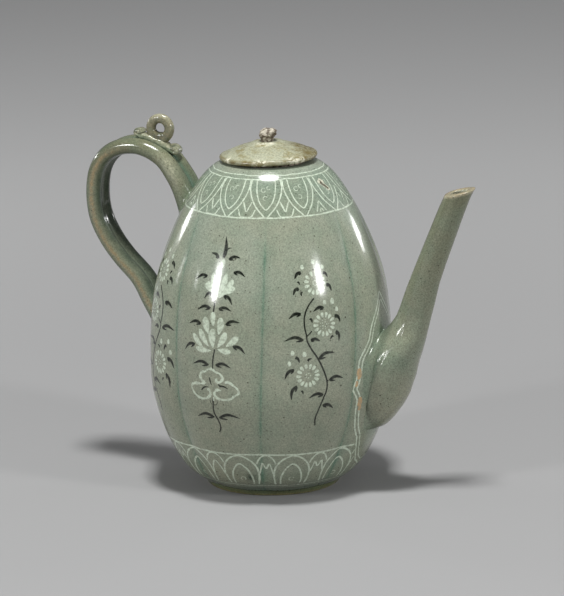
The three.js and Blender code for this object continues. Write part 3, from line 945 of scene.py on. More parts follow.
class EWER_OT_spout(bpy.types.Operator):
    """Throws the spout's tube and bulb, bores it and lutes it to the body"""

    bl_idname = "ewer.spout"
    bl_label = "Spout"

    def execute(self, context):
        take_sizes(context.scene)
        columns = []
        for turn, (_, rows, end) in zip(turns(SPOUT_COLUMNS), spout_roots(SPOUT_COLUMNS)):
            marks = [(0.5,)] * 2 + [(0.5 - 0.03 * i,) for i in range(len(rows) - 2)]
            for i in range(SPOUT_ROWS + 1):
                share = mix(end, LIP_START, i / SPOUT_ROWS)
                rows.append(spout_point(turn, share))
                marks.append(spout_marks(turn, share, end))
            for i in range(1, LIP_ROWS):
                bend = math.pi * i / LIP_ROWS
                rows.append(spout_point(turn, mix(LIP_START, 1, math.sin(bend)),
                                        SPOUT_WALLS[1] * (1 - math.cos(bend)) / 2))
                marks.append((0, 1, 0.4))
            inner = leaves_wall(lambda share: spout_point(turn, share, mix(*SPOUT_WALLS, share)), 0.985, 0.0)
            for i in range(BORE_ROWS + 1):
                share = mix(LIP_START, inner, i / BORE_ROWS)
                rows.append(spout_point(turn, share, mix(*SPOUT_WALLS, share)))
                # Deep in the bore the glaze is painted with shade; by the lip it is cream
                darkened = smoothstep(1 - share, 0.012, 0.04)
                marks.append((0, 0, 1 - darkened, darkened))
            rows.append(rows[-1] - normal_at(rows[-1]) * ROOT_SINK)
            marks.append((0.3,))
            columns.append((rows, marks))
        rolled_piece("spout_thrown", "spout", columns, True)
        return {"FINISHED"}


# Handle, saddle and cord loop

def handle_path():
    """Centre line of the handle, from inside the shoulder over the top and down to the wall's widest part"""
    roots = [Vector((crown_radius(BODY_BASE + BODY_HEIGHT * s), 0, BODY_BASE + BODY_HEIGHT * s))
             for s in HANDLE_ROOTS]
    top, out = MOUTH_LEVEL + HANDLE_RISE, BODY_RADIUS + HANDLE_OUTREACH
    turn = mix(top, roots[1].z, HANDLE_OUTER)
    return HandCurve([
        (roots[0].x - HANDLE_SINK / 2, 0, roots[0].z - HANDLE_SINK),
        *[(mix(roots[0].x, out, reach), 0, mix(roots[0].z, top, level)) for reach, level in HANDLE_UPPER],
        (out, 0, turn),
        *[(mix(roots[1].x, out, reach), 0, mix(roots[1].z, turn, level)) for reach, level in HANDLE_LOWER],
        (roots[1].x - HANDLE_SINK / 2, 0, roots[1].z - HANDLE_SINK),
    ])


handle_curve = handle_path()


def handle_place(along, outward, side):
    """Point off the handle's centre line, by an outward and a side distance"""
    centre, run = handle_curve.along(along), handle_curve.heading(along)
    return Vector((-(centre.x - run.z * outward), side, centre.z + run.x * outward))


def handle_surface(turn, along):
    flare = (HANDLE_FLARES[0] * (1 - along) ** HANDLE_FLARE_POWERS[0]
             + HANDLE_FLARES[1] * along ** HANDLE_FLARE_POWERS[1])
    half_width = (HANDLE_WIDTH + flare) / 2
    x, y = section(turn, (HANDLE_THICKNESS + flare) / 2, half_width, HANDLE_SQUARENESS)
    furrow = 1.5 * max(0, math.cos(math.pi * y / half_width)) + 0.45 * fade(y, 1.1)
    return handle_place(along, x - math.copysign(min(furrow, abs(x)), x), y)


def handle_roots(end, columns):
    """Fillet columns at the upper (0) or the lower (1) root"""
    inside, outside = (0.0, 0.3) if end == 0 else (1.0, 0.7)
    return [luted_column(lambda share: handle_surface(turn, share), lambda share: handle_place(share, 0, 0),
                         outside, inside, HANDLE_FILLET, 6) for turn in turns(columns)]


class EWER_OT_handle(bpy.types.Operator):
    """Lays two rolled strands side by side, bends them over and lutes both ends"""

    bl_idname = "ewer.handle"
    bl_label = "Handle"

    def execute(self, context):
        take_sizes(context.scene)
        ends = [handle_place(0.03, 0, 0), handle_place(0.97, 0, 0)]
        upper, lower = handle_roots(0, HANDLE_COLUMNS), handle_roots(1, HANDLE_COLUMNS)
        columns = []
        for turn, (_, first, start), (_, last, stop) in zip(turns(HANDLE_COLUMNS), upper, lower):
            x, y = section(turn, 1, 1, HANDLE_SQUARENESS)
            facing = math.degrees(math.atan2(abs(y), x))
            crest = fade(facing - 98, 15)
            furrow = (0.7 * fade(y, 0.17) + 0.2 * fade(y, 0.45)) * (1 if facing < 90 else 0.2)
            outer, under = fade(facing - 42, 24), fade(facing - 152, 26)
            rows = [ends[0], *first]
            marks = [(1,), *[(0.6 - 0.05 * i,) for i in range(len(first))]]
            for i in range(HANDLE_ROWS + 1):
                share = mix(start, stop, i / HANDLE_ROWS)
                rows.append(handle_surface(turn, share))
                rooted = max(0.35 * math.exp(-i / 7), 0.4 * math.exp(-(HANDLE_ROWS - i) / 7))
                down = smoothstep(share, 0.3, 0.44)
                # The sheen is a painted highlight on the upper bend; the darkened mark is painted shade on
                # the outer flanks and the inner side
                sheen = 0.6 * fade(share - 0.17, 0.06) * fade(facing - 70, 32)
                marks.append((furrow + rooted, 0.8 * crest * down, sheen,
                              0.7 * outer * down + under * mix(0.95, 0.8, down)))
            rows += [*last[::-1], ends[1]]
            marks += [*[(0.4 + 0.08 * i,) for i in range(len(last))], (1,)]
            columns.append((rows, marks))
        rolled_piece("handle_rolled_strands", "handle", columns, False)
        return {"FINISHED"}


def saddle_path():
    """Middle line of the scrolled strip, as (distance along the handle, height over its centre line)"""
    rest = HANDLE_THICKNESS / 2 + SADDLE_THICKNESS / 2

    def scroll(end, steps):
        points = []
        for i in steps:
            turn = math.radians(SCROLL_TURN * i / SCROLL_STEPS)
            coil = (ROLL_RADIUS - 0.8) * mix(1, 0.62, abs(i) / SCROLL_STEPS)
            points.append((end + coil * math.sin(turn), rest + ROLL_RADIUS - 0.6 - coil * math.cos(turn)))
        return points

    middle = [(mix(-SADDLE_ENDS[0], SADDLE_ENDS[1], i / 12), rest + 0.2 * abs(mix(-1, 1, i / 12)) ** 3)
              for i in range(1, 12)]
    return [*scroll(-SADDLE_ENDS[0], range(-SCROLL_STEPS, 1)), *middle,
            *scroll(SADDLE_ENDS[1], range(SCROLL_STEPS + 1))]


def saddle_point(path, turn, run):
    """Corner of the strip by its column and row; the first and the last row close its ends"""
    first = min(max(run - 1, 0), len(path) - 1)
    step, height = path[first]
    before, after = path[max(first - 1, 0)], path[min(first + 1, len(path) - 1)]
    heading = math.atan2(after[1] - before[1], after[0] - before[0])
    curled = max(0, -SADDLE_ENDS[0] - step + 1.5, step - SADDLE_ENDS[1] + 1.5)
    lumpy = 1 + 0.4 * noise.noise(Vector((step * 0.5, turn * 0.45, 2)))
    thick = SADDLE_THICKNESS * (1.9 + 0.5 * fade(step - 1.5, 4.5))
    scroll = smoothstep(curled, 0, 1.5)
    half = mix(thick, SCROLL_THICKNESS, scroll) / 2 * lumpy
    sunk = (thick - SADDLE_THICKNESS) * 0.34 * (1 - scroll)
    x, y = section(math.tau * turn / SADDLE_FACETS, half, SADDLE_HALF_WIDTH, 2.6)
    if run in (0, len(path) + 1):
        x, y = 0, 0
    along = LOOP_ALONG - (step - math.sin(heading) * x) / handle_curve.length
    return handle_place(along, height - sunk + math.cos(heading) * x, y)


def loop_point(turn, run):
    """Corner of the cord loop, which is pressed a little broader where it sits on the saddle"""
    middle = handle_place(LOOP_ALONG, HANDLE_THICKNESS / 2 + SADDLE_THICKNESS - LOOP_SINK
                          + LOOP_RADIUS + LOOP_COIL / 2, 0)
    sweep, bend = math.tau * run / LOOP_STEPS, math.tau * turn / LOOP_FACETS
    seated = max(0, -math.sin(sweep))
    half = LOOP_COIL / 2 * (1.1 + 0.06 * noise.noise(Vector((math.cos(sweep), math.sin(sweep), 3.3)) * 2))
    across = half * math.sin(bend) * (1 + 0.25 * seated ** 4)
    out = LOOP_RADIUS - 0.3 + half * math.cos(bend) * (1 + 0.25 * seated ** 3)
    most = LOOP_COIL / 2 - 0.01
    return middle + Vector((out * math.cos(sweep), min(most, max(-most, across)), out * math.sin(sweep)))


class EWER_OT_loop(bpy.types.Operator):
    """Bends the scrolled saddle strip over the handle and presses the coiled cord loop on it"""

    bl_idname = "ewer.loop"
    bl_label = "Cord loop and saddle"

    def execute(self, context):
        take_sizes(context.scene)
        path = saddle_path()
        bm = bmesh.new()
        layers = glaze_marks(bm)
        for vert, turn, run in rolled_sheet(bm, SADDLE_FACETS, len(path) + 1,
                                            lambda t, r: saddle_point(path, t, r)):
            above = math.cos(math.tau * turn / SADDLE_FACETS)
            dented = noise.noise(vert.co * 0.45)
            # Along its middle the strip's outer face is painted lighter and its face against the handle is
            # painted with shade; the scrolls are mottled at random
            if 16 < run < len(path) - 15:
                values = (0.3, 0.3 * above, 0.5 * above + 0.5 * dented, -1.1 * above + 0.3 - dented)
            else:
                values = (0.35, 0.2, 0.35 + 0.6 * dented, 0.3 - 1.5 * dented)
            mark(vert, layers, values)
        finished(bm, "saddle_scrolled_strip", materials()["spout"], "vessel", ["loop_saddle"])

        bm = bmesh.new()
        layers = glaze_marks(bm)
        for vert, turn, run in rolled_sheet(bm, LOOP_FACETS, LOOP_STEPS, loop_point, True):
            bend, sweep = math.tau * turn / LOOP_FACETS, math.tau * run / LOOP_STEPS
            # The loop is painted lighter on its top and outer side, and painted with shade low down, where
            # the glaze also pools, and on its inner side
            low, outward = max(0, -math.sin(sweep) - 0.5), math.cos(bend)
            pale = (0.1 + 0.5 * max(0, outward)) * (0.5 + 0.5 * math.sin(sweep))
            mark(vert, layers, (0.5 * low, 0.3, pale, 1.2 * low + 0.25 + 0.5 * max(0, -outward)))
        finished(bm, "cord_loop_coiled", materials()["spout"], "vessel", ["cord_loop"])
        return {"FINISHED"}


# Lid

def seat_lid(bm, tilt):
    """Tilts a lid piece about the edge on the handle's side, where it rests"""
    pivot = Vector((-LID_RADIUS, 0, LID_SEAT))
    bmesh.ops.rotate(bm, verts=bm.verts, cent=pivot, matrix=Matrix.Rotation(-tilt, 3, "Y"))


def lid_profile():
    """The disc in half section: its hollow, its rounded rim, and its dome with a low ring round the knob"""
    edge, rim_top = LID_RIM / 2, LID_SEAT + LID_RIM
    top = rim_top + LID_DOME
    dome = HandCurve([
        (LID_RADIUS - edge, 0, rim_top), (LID_RADIUS * 0.72, 0, rim_top + LID_DOME * 0.42),
        (LID_RADIUS * 0.42, 0, rim_top + LID_DOME * 0.82), (4.3, 0, top),
    ])
    ringed = []
    for i in range(1, 40):
        point = dome.along(i / 39)
        off = (point.x - 7.4) / 3.1
        ringed.append((point.x, point.z + 0.7 * max(0, 1 - off * off)))
    hollow, ceiling = FLANGE_RADIUS - FLANGE_WALL, top - LID_WALL
    return [
        *[(hollow * i / 8, ceiling - 0.25 * (i / 8) ** 2 * (ceiling - LID_SEAT)) for i in range(8)],
        (hollow, LID_SEAT),
        *quarter_round((LID_RADIUS - edge, LID_SEAT), (LID_RADIUS, LID_SEAT + edge), False),
        *quarter_round((LID_RADIUS, LID_SEAT + edge), (LID_RADIUS - edge, rim_top), True)[1:],
        *ringed, (2.2, top), (0, top),
    ]


def turned_disc():
    """The glazed disc: browned on the spout's side, burnt at its rim, and with pale blisters"""
    bm = bmesh.new()
    thin = bm.verts.layers.float.new("thin")
    pale = bm.verts.layers.float.new("pale")
    turned(bm, lid_profile(), 144)
    for vert in bm.verts:
        x, y = vert.co.x, vert.co.y
        r = math.hypot(x, y)
        waver = noise.noise(vert.co * 0.14)
        if vert.co.z > LID_SEAT + 0.4 and r > 8:
            vert.co.z += 0.16 * waver
        patchy = noise.noise(Vector((x, y, 0)) * 0.16 + Vector((4, 0, 0)))
        browned = 0.95 * smoothstep(x * 0.8 + y * 0.6 + 10 * patchy, 5, 19) * smoothstep(r, 8, 16)
        edge_burn = smoothstep(r, LID_RADIUS - 1.7 + 1.2 * patchy, LID_RADIUS - 0.5)
        low_burn = 1 - smoothstep(vert.co.z, LID_SEAT + 0.3, LID_SEAT + 1.4)
        vert[thin] = min(1, max(browned, edge_burn * (0.7 + 0.5 * patchy), 1.3 * low_burn))
        vert[pale] = max(fade(math.hypot(x - spot_x, y - spot_y), reach)
                         for spot_x, spot_y, reach in BLISTERS)
    return bm


def turned_flange():
    inside, low = FLANGE_RADIUS - FLANGE_WALL, LID_SEAT - FLANGE_DEPTH
    bm = bmesh.new()
    turned(bm, [
        (inside, LID_SEAT), (inside, low + 0.4), (inside + 0.4, low),
        *quarter_round((FLANGE_RADIUS - 0.9, low), (FLANGE_RADIUS, low + 0.9), False),
        (FLANGE_RADIUS, LID_SEAT), (inside, LID_SEAT),
    ], 128)
    return bm


def rough_bud():
    """The knob: a bud turned round, then squeezed lumpy and leant toward the spout"""
    top = KNOB_BASE + KNOB_HEIGHT
    bud = HandCurve([(r, 0, KNOB_BASE + KNOB_HEIGHT * share) for r, share in (
        (3.5, 0), (3.5, 0.16), (KNOB_RADIUS, 0.52), (KNOB_RADIUS * 0.92, 0.84), (KNOB_RADIUS * 0.5, 1))])
    side = [bud.along(i / 30) for i in range(31)]
    bm = bmesh.new()
    turned(bm, [(0, KNOB_BASE - 0.3), (3.4, KNOB_BASE - 0.3), *[(p.x, p.z) for p in side],
                (1.2, top), (0, top - 0.1)], 64)
    heart = Vector((0, 0, KNOB_BASE + KNOB_HEIGHT * 0.55))
    for vert in bm.verts:
        out = (vert.co - heart).normalized()
        lift = smoothstep(vert.co.z, KNOB_BASE + 0.5, KNOB_BASE + 3)
        rough = 0.85 * noise.noise(vert.co * 0.42) + 0.4 * noise.noise(vert.co * 1.1)
        vert.co += out * (rough - 0.35) * lift * 0.9
        leant = smoothstep(vert.co.z, KNOB_BASE + 1.5, top)
        vert.co += Vector((1.1 * leant - 0.4, 0.45 * leant, -0.13 * (vert.co.z - KNOB_BASE)))
    return bm


class EWER_OT_lid(bpy.types.Operator):
    """Turns the lid's dome and its flange, and shapes the bud of the knob"""

    bl_idname = "ewer.lid"
    bl_label = "Lid"

    def execute(self, context):
        take_sizes(context.scene)
        for bm, name, finish, node, slot in (
                (turned_disc(), "lid_turned_dome", "lid", "lid_disc", "lid_glaze"),
                (turned_flange(), "lid_flange_bare", "bare", "lid_flange", "bare_stoneware"),
                (rough_bud(), "knob_rough_bud", "knob", "lid_knob", "bare_stoneware")):
            seat_lid(bm, context.scene.ewer_lid.tilt)
            finished(bm, name, materials()[finish], "lid", [node])
        return {"FINISHED"}


# Inlay

def round_to(path, spacing):
    """Even points along a curve through the path's points, about that spacing apart"""
    if len(path) == 2:
        a, b = (Vector((*p, 0)) for p in path)
        count = max(2, round((b - a).length / spacing))
        return [tuple(a.lerp(b, i / count))[:2] for i in range(count + 1)]
    curve = HandCurve([(*p, 0) for p in path])
    count = max(3, round(curve.length / spacing))
    return [tuple(curve.along(i / count))[:2] for i in range(count + 1)]


# A stroke's outline as (side, rise, how fully it carries slip), which ends at its floor under the wall
BROAD_STROKE = ((-1, 0.0, 0.0), (-0.62, 0.6, 1.0), (0, 1.0, 1.0), (0.62, 0.6, 1.0), (1, 0.0, 0.0),
                (0, None, 0.0))
FINE_STROKE = ((-1, 0.0, 0.25), (0, 1.0, 1.0), (1, 0.0, 0.25), (0, None, 0.0))


class Slip:
    """Inlaid slip of one object: strokes cut flush into the wall, drawn from the middle of a panel"""

    def __init__(self):
        self.bm = bmesh.new()
        self.core = self.bm.verts.layers.float.new("core")
        self.panel, self.mirror = 0, 1

    def placed(self, points):
        """Angles and levels of points drawn at (side distance from the panel's middle, level)"""
        return [(math.radians(self.panel) + s * self.mirror / crown_radius(z), z) for s, z in points]

    def stroke(self, places, widths, lift):
        """One stroke along (angle, level) places; it follows the wall and is closed"""
        spots = [on_wall(*place) for place in places]
        last = len(spots) - 1
        outline = BROAD_STROKE if max(widths) >= 0.7 else FINE_STROKE
        rows = []
        for i, (spot, place, width) in enumerate(zip(spots, places, widths)):
            run = (spots[min(i + 1, last)] - spots[max(i - 1, 0)]).normalized()
            side = wall_normal(*place).cross(run).normalized()
            row = []
            for across, rise, _ in outline:
                if i in (0, last):
                    row.append(to_wall(spot, INLAY_FLOOR / 2))
                else:
                    height = INLAY_FLOOR if rise is None else 0.02 + lift * rise
                    row.append(to_wall(spot + side * across * width / 2, height))
            rows.append(row)
        for vert, turn, run in rolled_sheet(self.bm, len(outline), last, lambda t, r: rows[r][t]):
            vert[self.core] = 0 if run in (0, last) else outline[turn][2]

    def line(self, places, width, lift=0.04, waver=0.0, seed=0.0):
        """Slip line of nearly even width, with rounded ends"""
        widths = []
        for i in range(len(places)):
            end = min(i, len(places) - 1 - i)
            uneven = 1 + waver * 1.5 * noise.noise(Vector((i * 0.45, seed * 3.1, 0)))
            widths.append(width * uneven * (0.35 if end == 0 else 0.82 if end == 1 else 1))
        self.stroke(places, widths, lift)

    def brushed(self, path, width, belly=0.35, lift=0.05, spacing=0.6, blunt=0.0, fullness=0.85):
        """Leaf, petal or stem: swells to its width at the belly and runs out at both ends"""
        points = round_to(path, spacing)
        power = math.log(0.5) / math.log(belly)
        swells = [math.sin(math.pi * (i / (len(points) - 1)) ** power) for i in range(len(points))]
        self.stroke(self.placed(points), [width * max(blunt, swell) ** fullness for swell in swells], lift)

    def leaf(self, root, tip, width):
        """Black leaf arched like a wing, with a second lobe under it"""
        a, run = Vector(root), Vector(tip) - Vector(root)
        arch = Vector((-run.y, run.x)) * (1 if run.x > 0 else -1)
        width = min(width, run.length * 0.3 + 0.5)
        self.brushed([root, a + run * 0.45 + arch * 0.17, tip], width, 0.36)
        self.brushed([a + run * 0.04, a + run * 0.26 - arch * 0.02, a + run * 0.46 - arch * 0.045],
                     width * 0.6, 0.4, 0.045)

    def finish(self, name, tone):
        finished(self.bm, name, materials()[tone], "vessel", conform=True)


# Drawings as (side distance from the panel's middle, level)
# Leaves: root and tip
LOTUS_LEAVES = (
    ((-4.8, 138.2), (-10.6, 140.9)), ((0.7, 138.1), (7.9, 139.3)), ((-10.2, 128.9), (-18.6, 126)),
    ((4.4, 131.8), (11.8, 129.6)), ((-5.6, 120.8), (-11.5, 116.8)), ((0.2, 119.9), (6, 114.6)),
    ((-6.3, 112.3), (-15.7, 110.4)), ((-2.2, 112.1), (6, 111.4)), ((-12.2, 103.2), (-21.3, 102.3)),
    ((2.3, 103.8), (11.2, 105.4)), ((-16, 91.8), (-24.6, 87.2)), ((6.6, 92.6), (14.2, 88.2)),
    ((-6.9, 80.9), (-18.3, 80.4)), ((-3.5, 81.2), (6.3, 80.2)), ((-4.6, 51.4), (-16.8, 50.4)),
    ((-2.7, 51), (10.4, 51.6)),
)
LOTUS_STEMS = (
    ((-4.4, 117), (-4.6, 113.5), (-5, 109.5)), ((-3.4, 90.6), (-4.6, 84.3), (-4.8, 78.5)),
    ((-5, 61.5), (-5, 54.3), (-2.9, 49.9), (-1.9, 45.3), (-3.3, 42.3)),
)
# Petals: base, tip and width
LOTUS_PETALS = (
    ((-4, 117.6), (-9.8, 126.5), 3.0), ((-3.7, 118), (-7.3, 131.2), 3.2), ((-3, 118.2), (-3.2, 134), 3.4),
    ((-2.6, 118), (0.9, 131.4), 3.2), ((-2.2, 117.8), (5.4, 128.4), 3.4), ((-2.4, 133.6), (-2, 138.4), 2.6),
    ((-9.4, 121.6), (-10.6, 125.8), 2.4), ((2.4, 120.6), (6.4, 124.6), 2.6),
    ((-4.5, 102.4), (-4.8, 110.8), 3.3), ((-7.6, 98), (-9.9, 107.6), 4.1), ((-1.4, 98), (-0.3, 108), 4.1),
    ((-7.2, 91.2), (-13.4, 100.6), 3.5), ((-4.5, 90.4), (-4.8, 101.6), 4.3), ((-2, 91), (3, 100.2), 3.8),
    ((-10.4, 90), (-17.9, 97.6), 3.1), ((3, 92), (10, 98.1), 3.5), ((-5.4, 89.2), (-15.9, 89.9), 3),
    ((-2, 90.4), (6.2, 89.4), 3.2),
)
CLOUD_FLOWER = (
    ((-9.5, 70.9), (-11.8, 72), (-12.9, 73.9), (-12.2, 76.3), (-9.6, 77.2), (-7.5, 78.7), (-4.7, 78.7),
     (-3.4, 77.5), (-0.7, 76.8), (1, 74.2), (0.1, 72.4), (-2, 71.7), (-2.9, 73.1), (-1.7, 74)),
    ((-8.6, 71.2), (-10.8, 70.3), (-13.7, 69.9), (-17, 69.6), (-19.2, 68.1), (-18.5, 65.6), (-15.9, 62.9),
     (-11.7, 61.6), (-7.9, 62.8), (-6.4, 65), (-7.2, 67), (-9, 67.5)),
    ((1.8, 71.9), (4.6, 72.2), (6.9, 70.8), (9.4, 68.7), (10.1, 66.2), (7.6, 64.5), (5.2, 62.7), (1, 62.1),
     (-2.6, 62.9), (-4.1, 65.2), (-2.6, 67.4), (0.6, 67.2)),
)
CLOUD_STROKES = (
    ((-6.9, 74.6), (-6.6, 72.4), (-5.5, 69.6)), ((-12.6, 66), (-10.4, 68.2), (-7.4, 68.8)),
    ((-1.4, 69.3), (1.2, 69.8), (4.6, 68.3)), ((-2, 71), (-0.4, 69.9), (1.4, 70.4)),
)
CALYX = (((-6.9, 61.8), (-6.4, 59.4), (-5.2, 58.4)), ((-2, 61.4), (-3, 59.2), (-4.8, 58.4)),
         ((-5.2, 63.4), (-5.4, 61), (-5, 58.8)))

# Heads: heart, radius, and how many petals, dabs and small strokes
HEADS = (((2.3, 125.6), 6.6, 13, 7, 0), ((5.7, 103.1), 6.9, 14, 5, 9), ((-5, 75.7), 6.9, 14, 5, 0))
# Buds: middle and size
BUDS = (
    (-4.1, 134.3, 3), (2.5, 136.6, 3.2), (7.6, 133.4, 3), (6.4, 114.9, 3), (11.3, 115, 3.9),
    (13.8, 110.4, 3.2), (-13.6, 88.8, 3.4), (-7, 87.8, 3.6), (-15.5, 83, 3.3),
)
CHRYSANTHEMUM_LEAVES = (
    ((-4.6, 131.9), (-9.2, 128)), ((7.4, 130.8), (10.4, 127.4)), ((8.6, 124.7), (11.8, 120)),
    ((-7.9, 127.2), (-6.6, 124.9)), ((-7, 123.8), (-11, 119.8)), ((-5.7, 122), (-6.2, 119)),
    ((6.3, 112), (-0.8, 110.4)), ((-7.1, 109.9), (-14.8, 107.2)), ((-3, 107.4), (-1.5, 104.2)),
    ((12, 107.4), (16.2, 102.8)), ((12.5, 99), (14.4, 92.4)), ((11.2, 96.4), (8.7, 94.2)),
    ((-6.6, 95.4), (-18, 95.4)), ((-3.4, 95), (2.8, 94.2)), ((0.9, 84.1), (11.6, 87)),
    ((6.9, 71.7), (17.2, 71.6)), ((-12.2, 86.7), (-9.7, 83)), ((-5.4, 83.6), (-2.4, 85.2)),
    ((-12.4, 79.9), (-18.2, 74)), ((-11.1, 70.8), (-14.5, 62.2)), ((-9.2, 67.8), (-7.9, 65.2)),
    ((4.2, 64), (-5, 62.8)), ((2.9, 58), (10.5, 55.2)),
)
CHRYSANTHEMUM_STEMS = (
    ((0.8, 118), (-3.3, 113.5), (-5.7, 108.3), (-6, 102.9), (-5.2, 97.9), (-5, 95.1), (-2.9, 90.6),
     (-0.2, 86.4), (2.1, 82.3), (4.4, 77), (6.1, 71.1), (5.8, 66.7), (3.7, 61.8), (0.9, 55.2), (-0.6, 50.6),
     (-0.4, 46.2)),
    ((-5.2, 97.2), (-3.7, 98.6), (-1.6, 100.4)), ((6, 71), (6.8, 71.9), (7.4, 72)),
    ((0.4, 84.9), (0.9, 84.6), (1.4, 84.6)),
)
# The bracket's left side, in runs between its points
BRACKET = (
    ((0, 113.7), (-4.9, 106.2), (-12.2, 97.1), (-15.9, 88.9)),
    ((-15.9, 88.9), (-19.5, 84.3), (-23.2, 79.4), (-25, 70.6), (-28.2, 62.9)),
    ((-28.2, 62.9), (-24.9, 56.5), (-24.7, 51.1), (-22, 40.1), (-17.9, 33.6)),
    ((-17.9, 33.6), (-15.5, 28.4), (-9.6, 19.4), (0, 13.6)),
)

# Kiln blemish on the shoulder: degrees round the pot and level
BLEMISH = (-14, 172.4)
# Its blobs as (side, rise, length, width), their outline as (share along, share of the width), and their lift
KILN_BLISTER = (((-0.6, 1.2, 5, 3.4), (1.4, -0.8, 4.6, 2.8), (0.2, 2.6, 3, 2.2)),
                ((-1, 0.2), (-0.75, 0.7), (-0.4, 0.95), (0, 1), (0.4, 0.95), (0.75, 0.7), (1, 0.2)), 0.12)
KILN_SCAR = (((0, 0.6, 4.4, 2.3), (1.4, -0.8, 3, 2), (-0.6, 2.2, 2, 1.2)),
             ((-1, 0.2), (-0.7, 0.8), (-0.35, 1), (0, 0.8), (0.35, 1), (0.7, 0.7), (1, 0.2)), 0.2)
# Spots of bare clay along the bracket: side distance from its middle, level and size
RUST_SPOTS = ((-24.1, 71.4, 7), (-25.9, 66, 4), (-23, 55.4, 6.2), (-22.4, 52, 4))


def bracket_half_width(level):
    """Half width of the spout's bracket at a level, or nothing above and below it"""
    points = [p for run in BRACKET for p in run]
    for (s0, z0), (s1, z1) in zip(points, points[1:]):
        if z1 <= level <= z0 and z0 > z1:
            return -mix(s1, s0, (level - z1) / (z0 - z1))
    return 0


def outside_bracket(places):
    """Parts of a band's line that are not inside the spout's bracket"""
    runs, run = [], []
    for angle, level in places:
        turn = (angle + math.pi) % math.tau - math.pi
        if abs(turn) * crown_radius(level) < bracket_half_width(level) + 0.3 and abs(turn) < 1:
            runs.append(run)
            run = []
        else:
            run.append((angle, level))
    return [run for run in (*runs, run) if len(run) > 3]


def band_path(points, middle):
    """Places of a band's line, from (degrees, level) points beside a petal's middle, evenly spaced"""
    scale = crown_radius(sum(z for _, z in points) / len(points)) * math.pi / 180
    even = round_to([(a * scale, z) for a, z in points], 1.0)
    return [(math.radians(middle + a / scale), z) for a, z in even]


def level_ring(level, waver):
    """A border line right round the pot and a little over its own start, which wavers by that much"""
    ring = []
    for i in range(RING_STEPS + 5):
        turn = math.tau * i / RING_STEPS
        off = noise.noise(Vector((math.cos(turn) * 6, math.sin(turn) * 6, level)))
        ring.append((turn - math.pi / 2, level + waver * off))
    return ring


def draw_band(slip, petals, start, lines, curls, width):
    """Petals of a band from a first middle in degrees: both halves of each line, and the curls"""
    pitch = 360 / petals
    for k in range(petals):
        middle = start + pitch * k
        for n, (points, share, between, drawn) in enumerate(lines):
            if k % 3 not in drawn:
                continue
            left, right = [], [points[0]]
            for mirror, half in ((-1, left), (1, right)):
                nudge = 0.5 * noise.noise(Vector((k * 1.7, n * 2.3, mirror)))
                half += [(mirror * (a + nudge * 0.5), z + nudge * 0.6) for a, z in points[1:]]
            at = middle + (pitch / 2 if between else 0)
            for run in outside_bracket(band_path(left[::-1] + right, at)):
                slip.line(run, width * share, waver=0.3, seed=k + n * 0.37)
        for n, (side, level, size, arc) in enumerate(curls):
            centre = math.radians(middle + side + 0.6 * noise.noise(Vector((k * 2.1, n, 5))))
            spin = math.tau * noise.noise(Vector((k * 1.3, n * 4.1, 9)))
            ring = []
            for i in range(15):
                turn = spin + math.radians(arc) * i / 14
                ring.append((centre + size * math.cos(turn) / crown_radius(level),
                             level + size * math.sin(turn) * 0.85))
            for run in outside_bracket(ring):
                slip.line(run, width * 0.55, waver=0.2, seed=k)


# Lines of a petal: points from its middle as (degrees, level), share of the line width, whether it fills the
# gap between two petals, and in which petals of every three it is drawn
SHOULDER_LINES = (
    (((0, 159.4), (3, 161.6), (6.6, 164.4), (9.6, 167.6), (11.8, 170.8), (13.2, 174), (13.1, 178.8)),
     1, False, (0, 1, 2)),
    (((0, 163.6), (2.2, 164.9), (4.6, 167), (6.6, 170.2), (7.8, 173.8), (8.2, 178.8)),
     0.95, False, (0, 1, 2)),
    (((0, 162.4), (1.3, 164.4), (3.7, 168.2)), 1, True, (0, 2)),
    (((0, 159.9), (4, 160.3), (5.4, 162.4), (6.6, 164.4)), 0.9, True, (0, 2)),
    (((0, 166), (1.9, 163.6), (4.6, 160.2)), 0.95, True, (1,)),
    (((0, 162.6), (0.9, 161.4), (1.6, 160)), 0.8, True, (1,)),
)
FOOT_LINES = (
    (((0, 28.7), (3, 27.9), (6.4, 25.6), (9.4, 21.6), (10.5, 16.6), (10.1, 12), (9.2, 8.8)),
     1.15, False, (0, 1, 2)),
    (((0, 23.4), (2.4, 21.9), (4.7, 18.8), (6.2, 14.8), (6.5, 11.4), (6.1, 9)), 1.1, False, (0, 1, 2)),
    (((0, 29), (2.4, 28.2), (4.6, 25.6), (5.6, 22.6)), 1, True, (0, 1, 2)),
    (((0, 20.4), (1.2, 22.4), (2, 24), (3.1, 20.4), (4.4, 16.2)), 0.95, True, (0, 2)),
    (((0, 24.2), (1.6, 22.2), (3.2, 18.4), (3.9, 14.6)), 0.95, True, (1,)),
)
# Curls of a petal: degrees from its middle, level, radius and arc in degrees
SHOULDER_CURLS = ((-0.6, 169.4, 1.15, 300), (-2.2, 173.4, 1.2, 330), (2.2, 174.4, 1.0, 250))
FOOT_CURLS = ((0.2, 13.4, 1.35, 330),)


class EWER_OT_bands(bpy.types.Operator):
    """Inlays the two bands of lotus petals and their border lines in white slip"""

    bl_idname = "ewer.bands"
    bl_label = "Petal bands"

    def execute(self, context):
        take_sizes(context.scene)
        width = context.scene.ewer_inlay.line_width / MM
        shoulder = Slip()
        draw_band(shoulder, 13, -68.3, SHOULDER_LINES, SHOULDER_CURLS, width * 0.85)
        for level, share in ((159.6, 0.9), (178.2, 0.8), (180, 0.75)):
            shoulder.line(level_ring(level, 0.3), width * share, waver=0.4, seed=level)
        shoulder.finish("shoulder_band_white_slip", "white")

        foot = Slip()
        draw_band(foot, 12, -55.1, FOOT_LINES, FOOT_CURLS, width * 1.05)
        for level, share in ((29.4, 1.15), (8.4, 0.8), (7.1, 0.5)):
            for run in outside_bracket(level_ring(level, 0.2)):
                foot.line(run, width * share, waver=0.3, seed=level)
        foot.finish("foot_band_white_slip", "white")
        return {"FINISHED"}


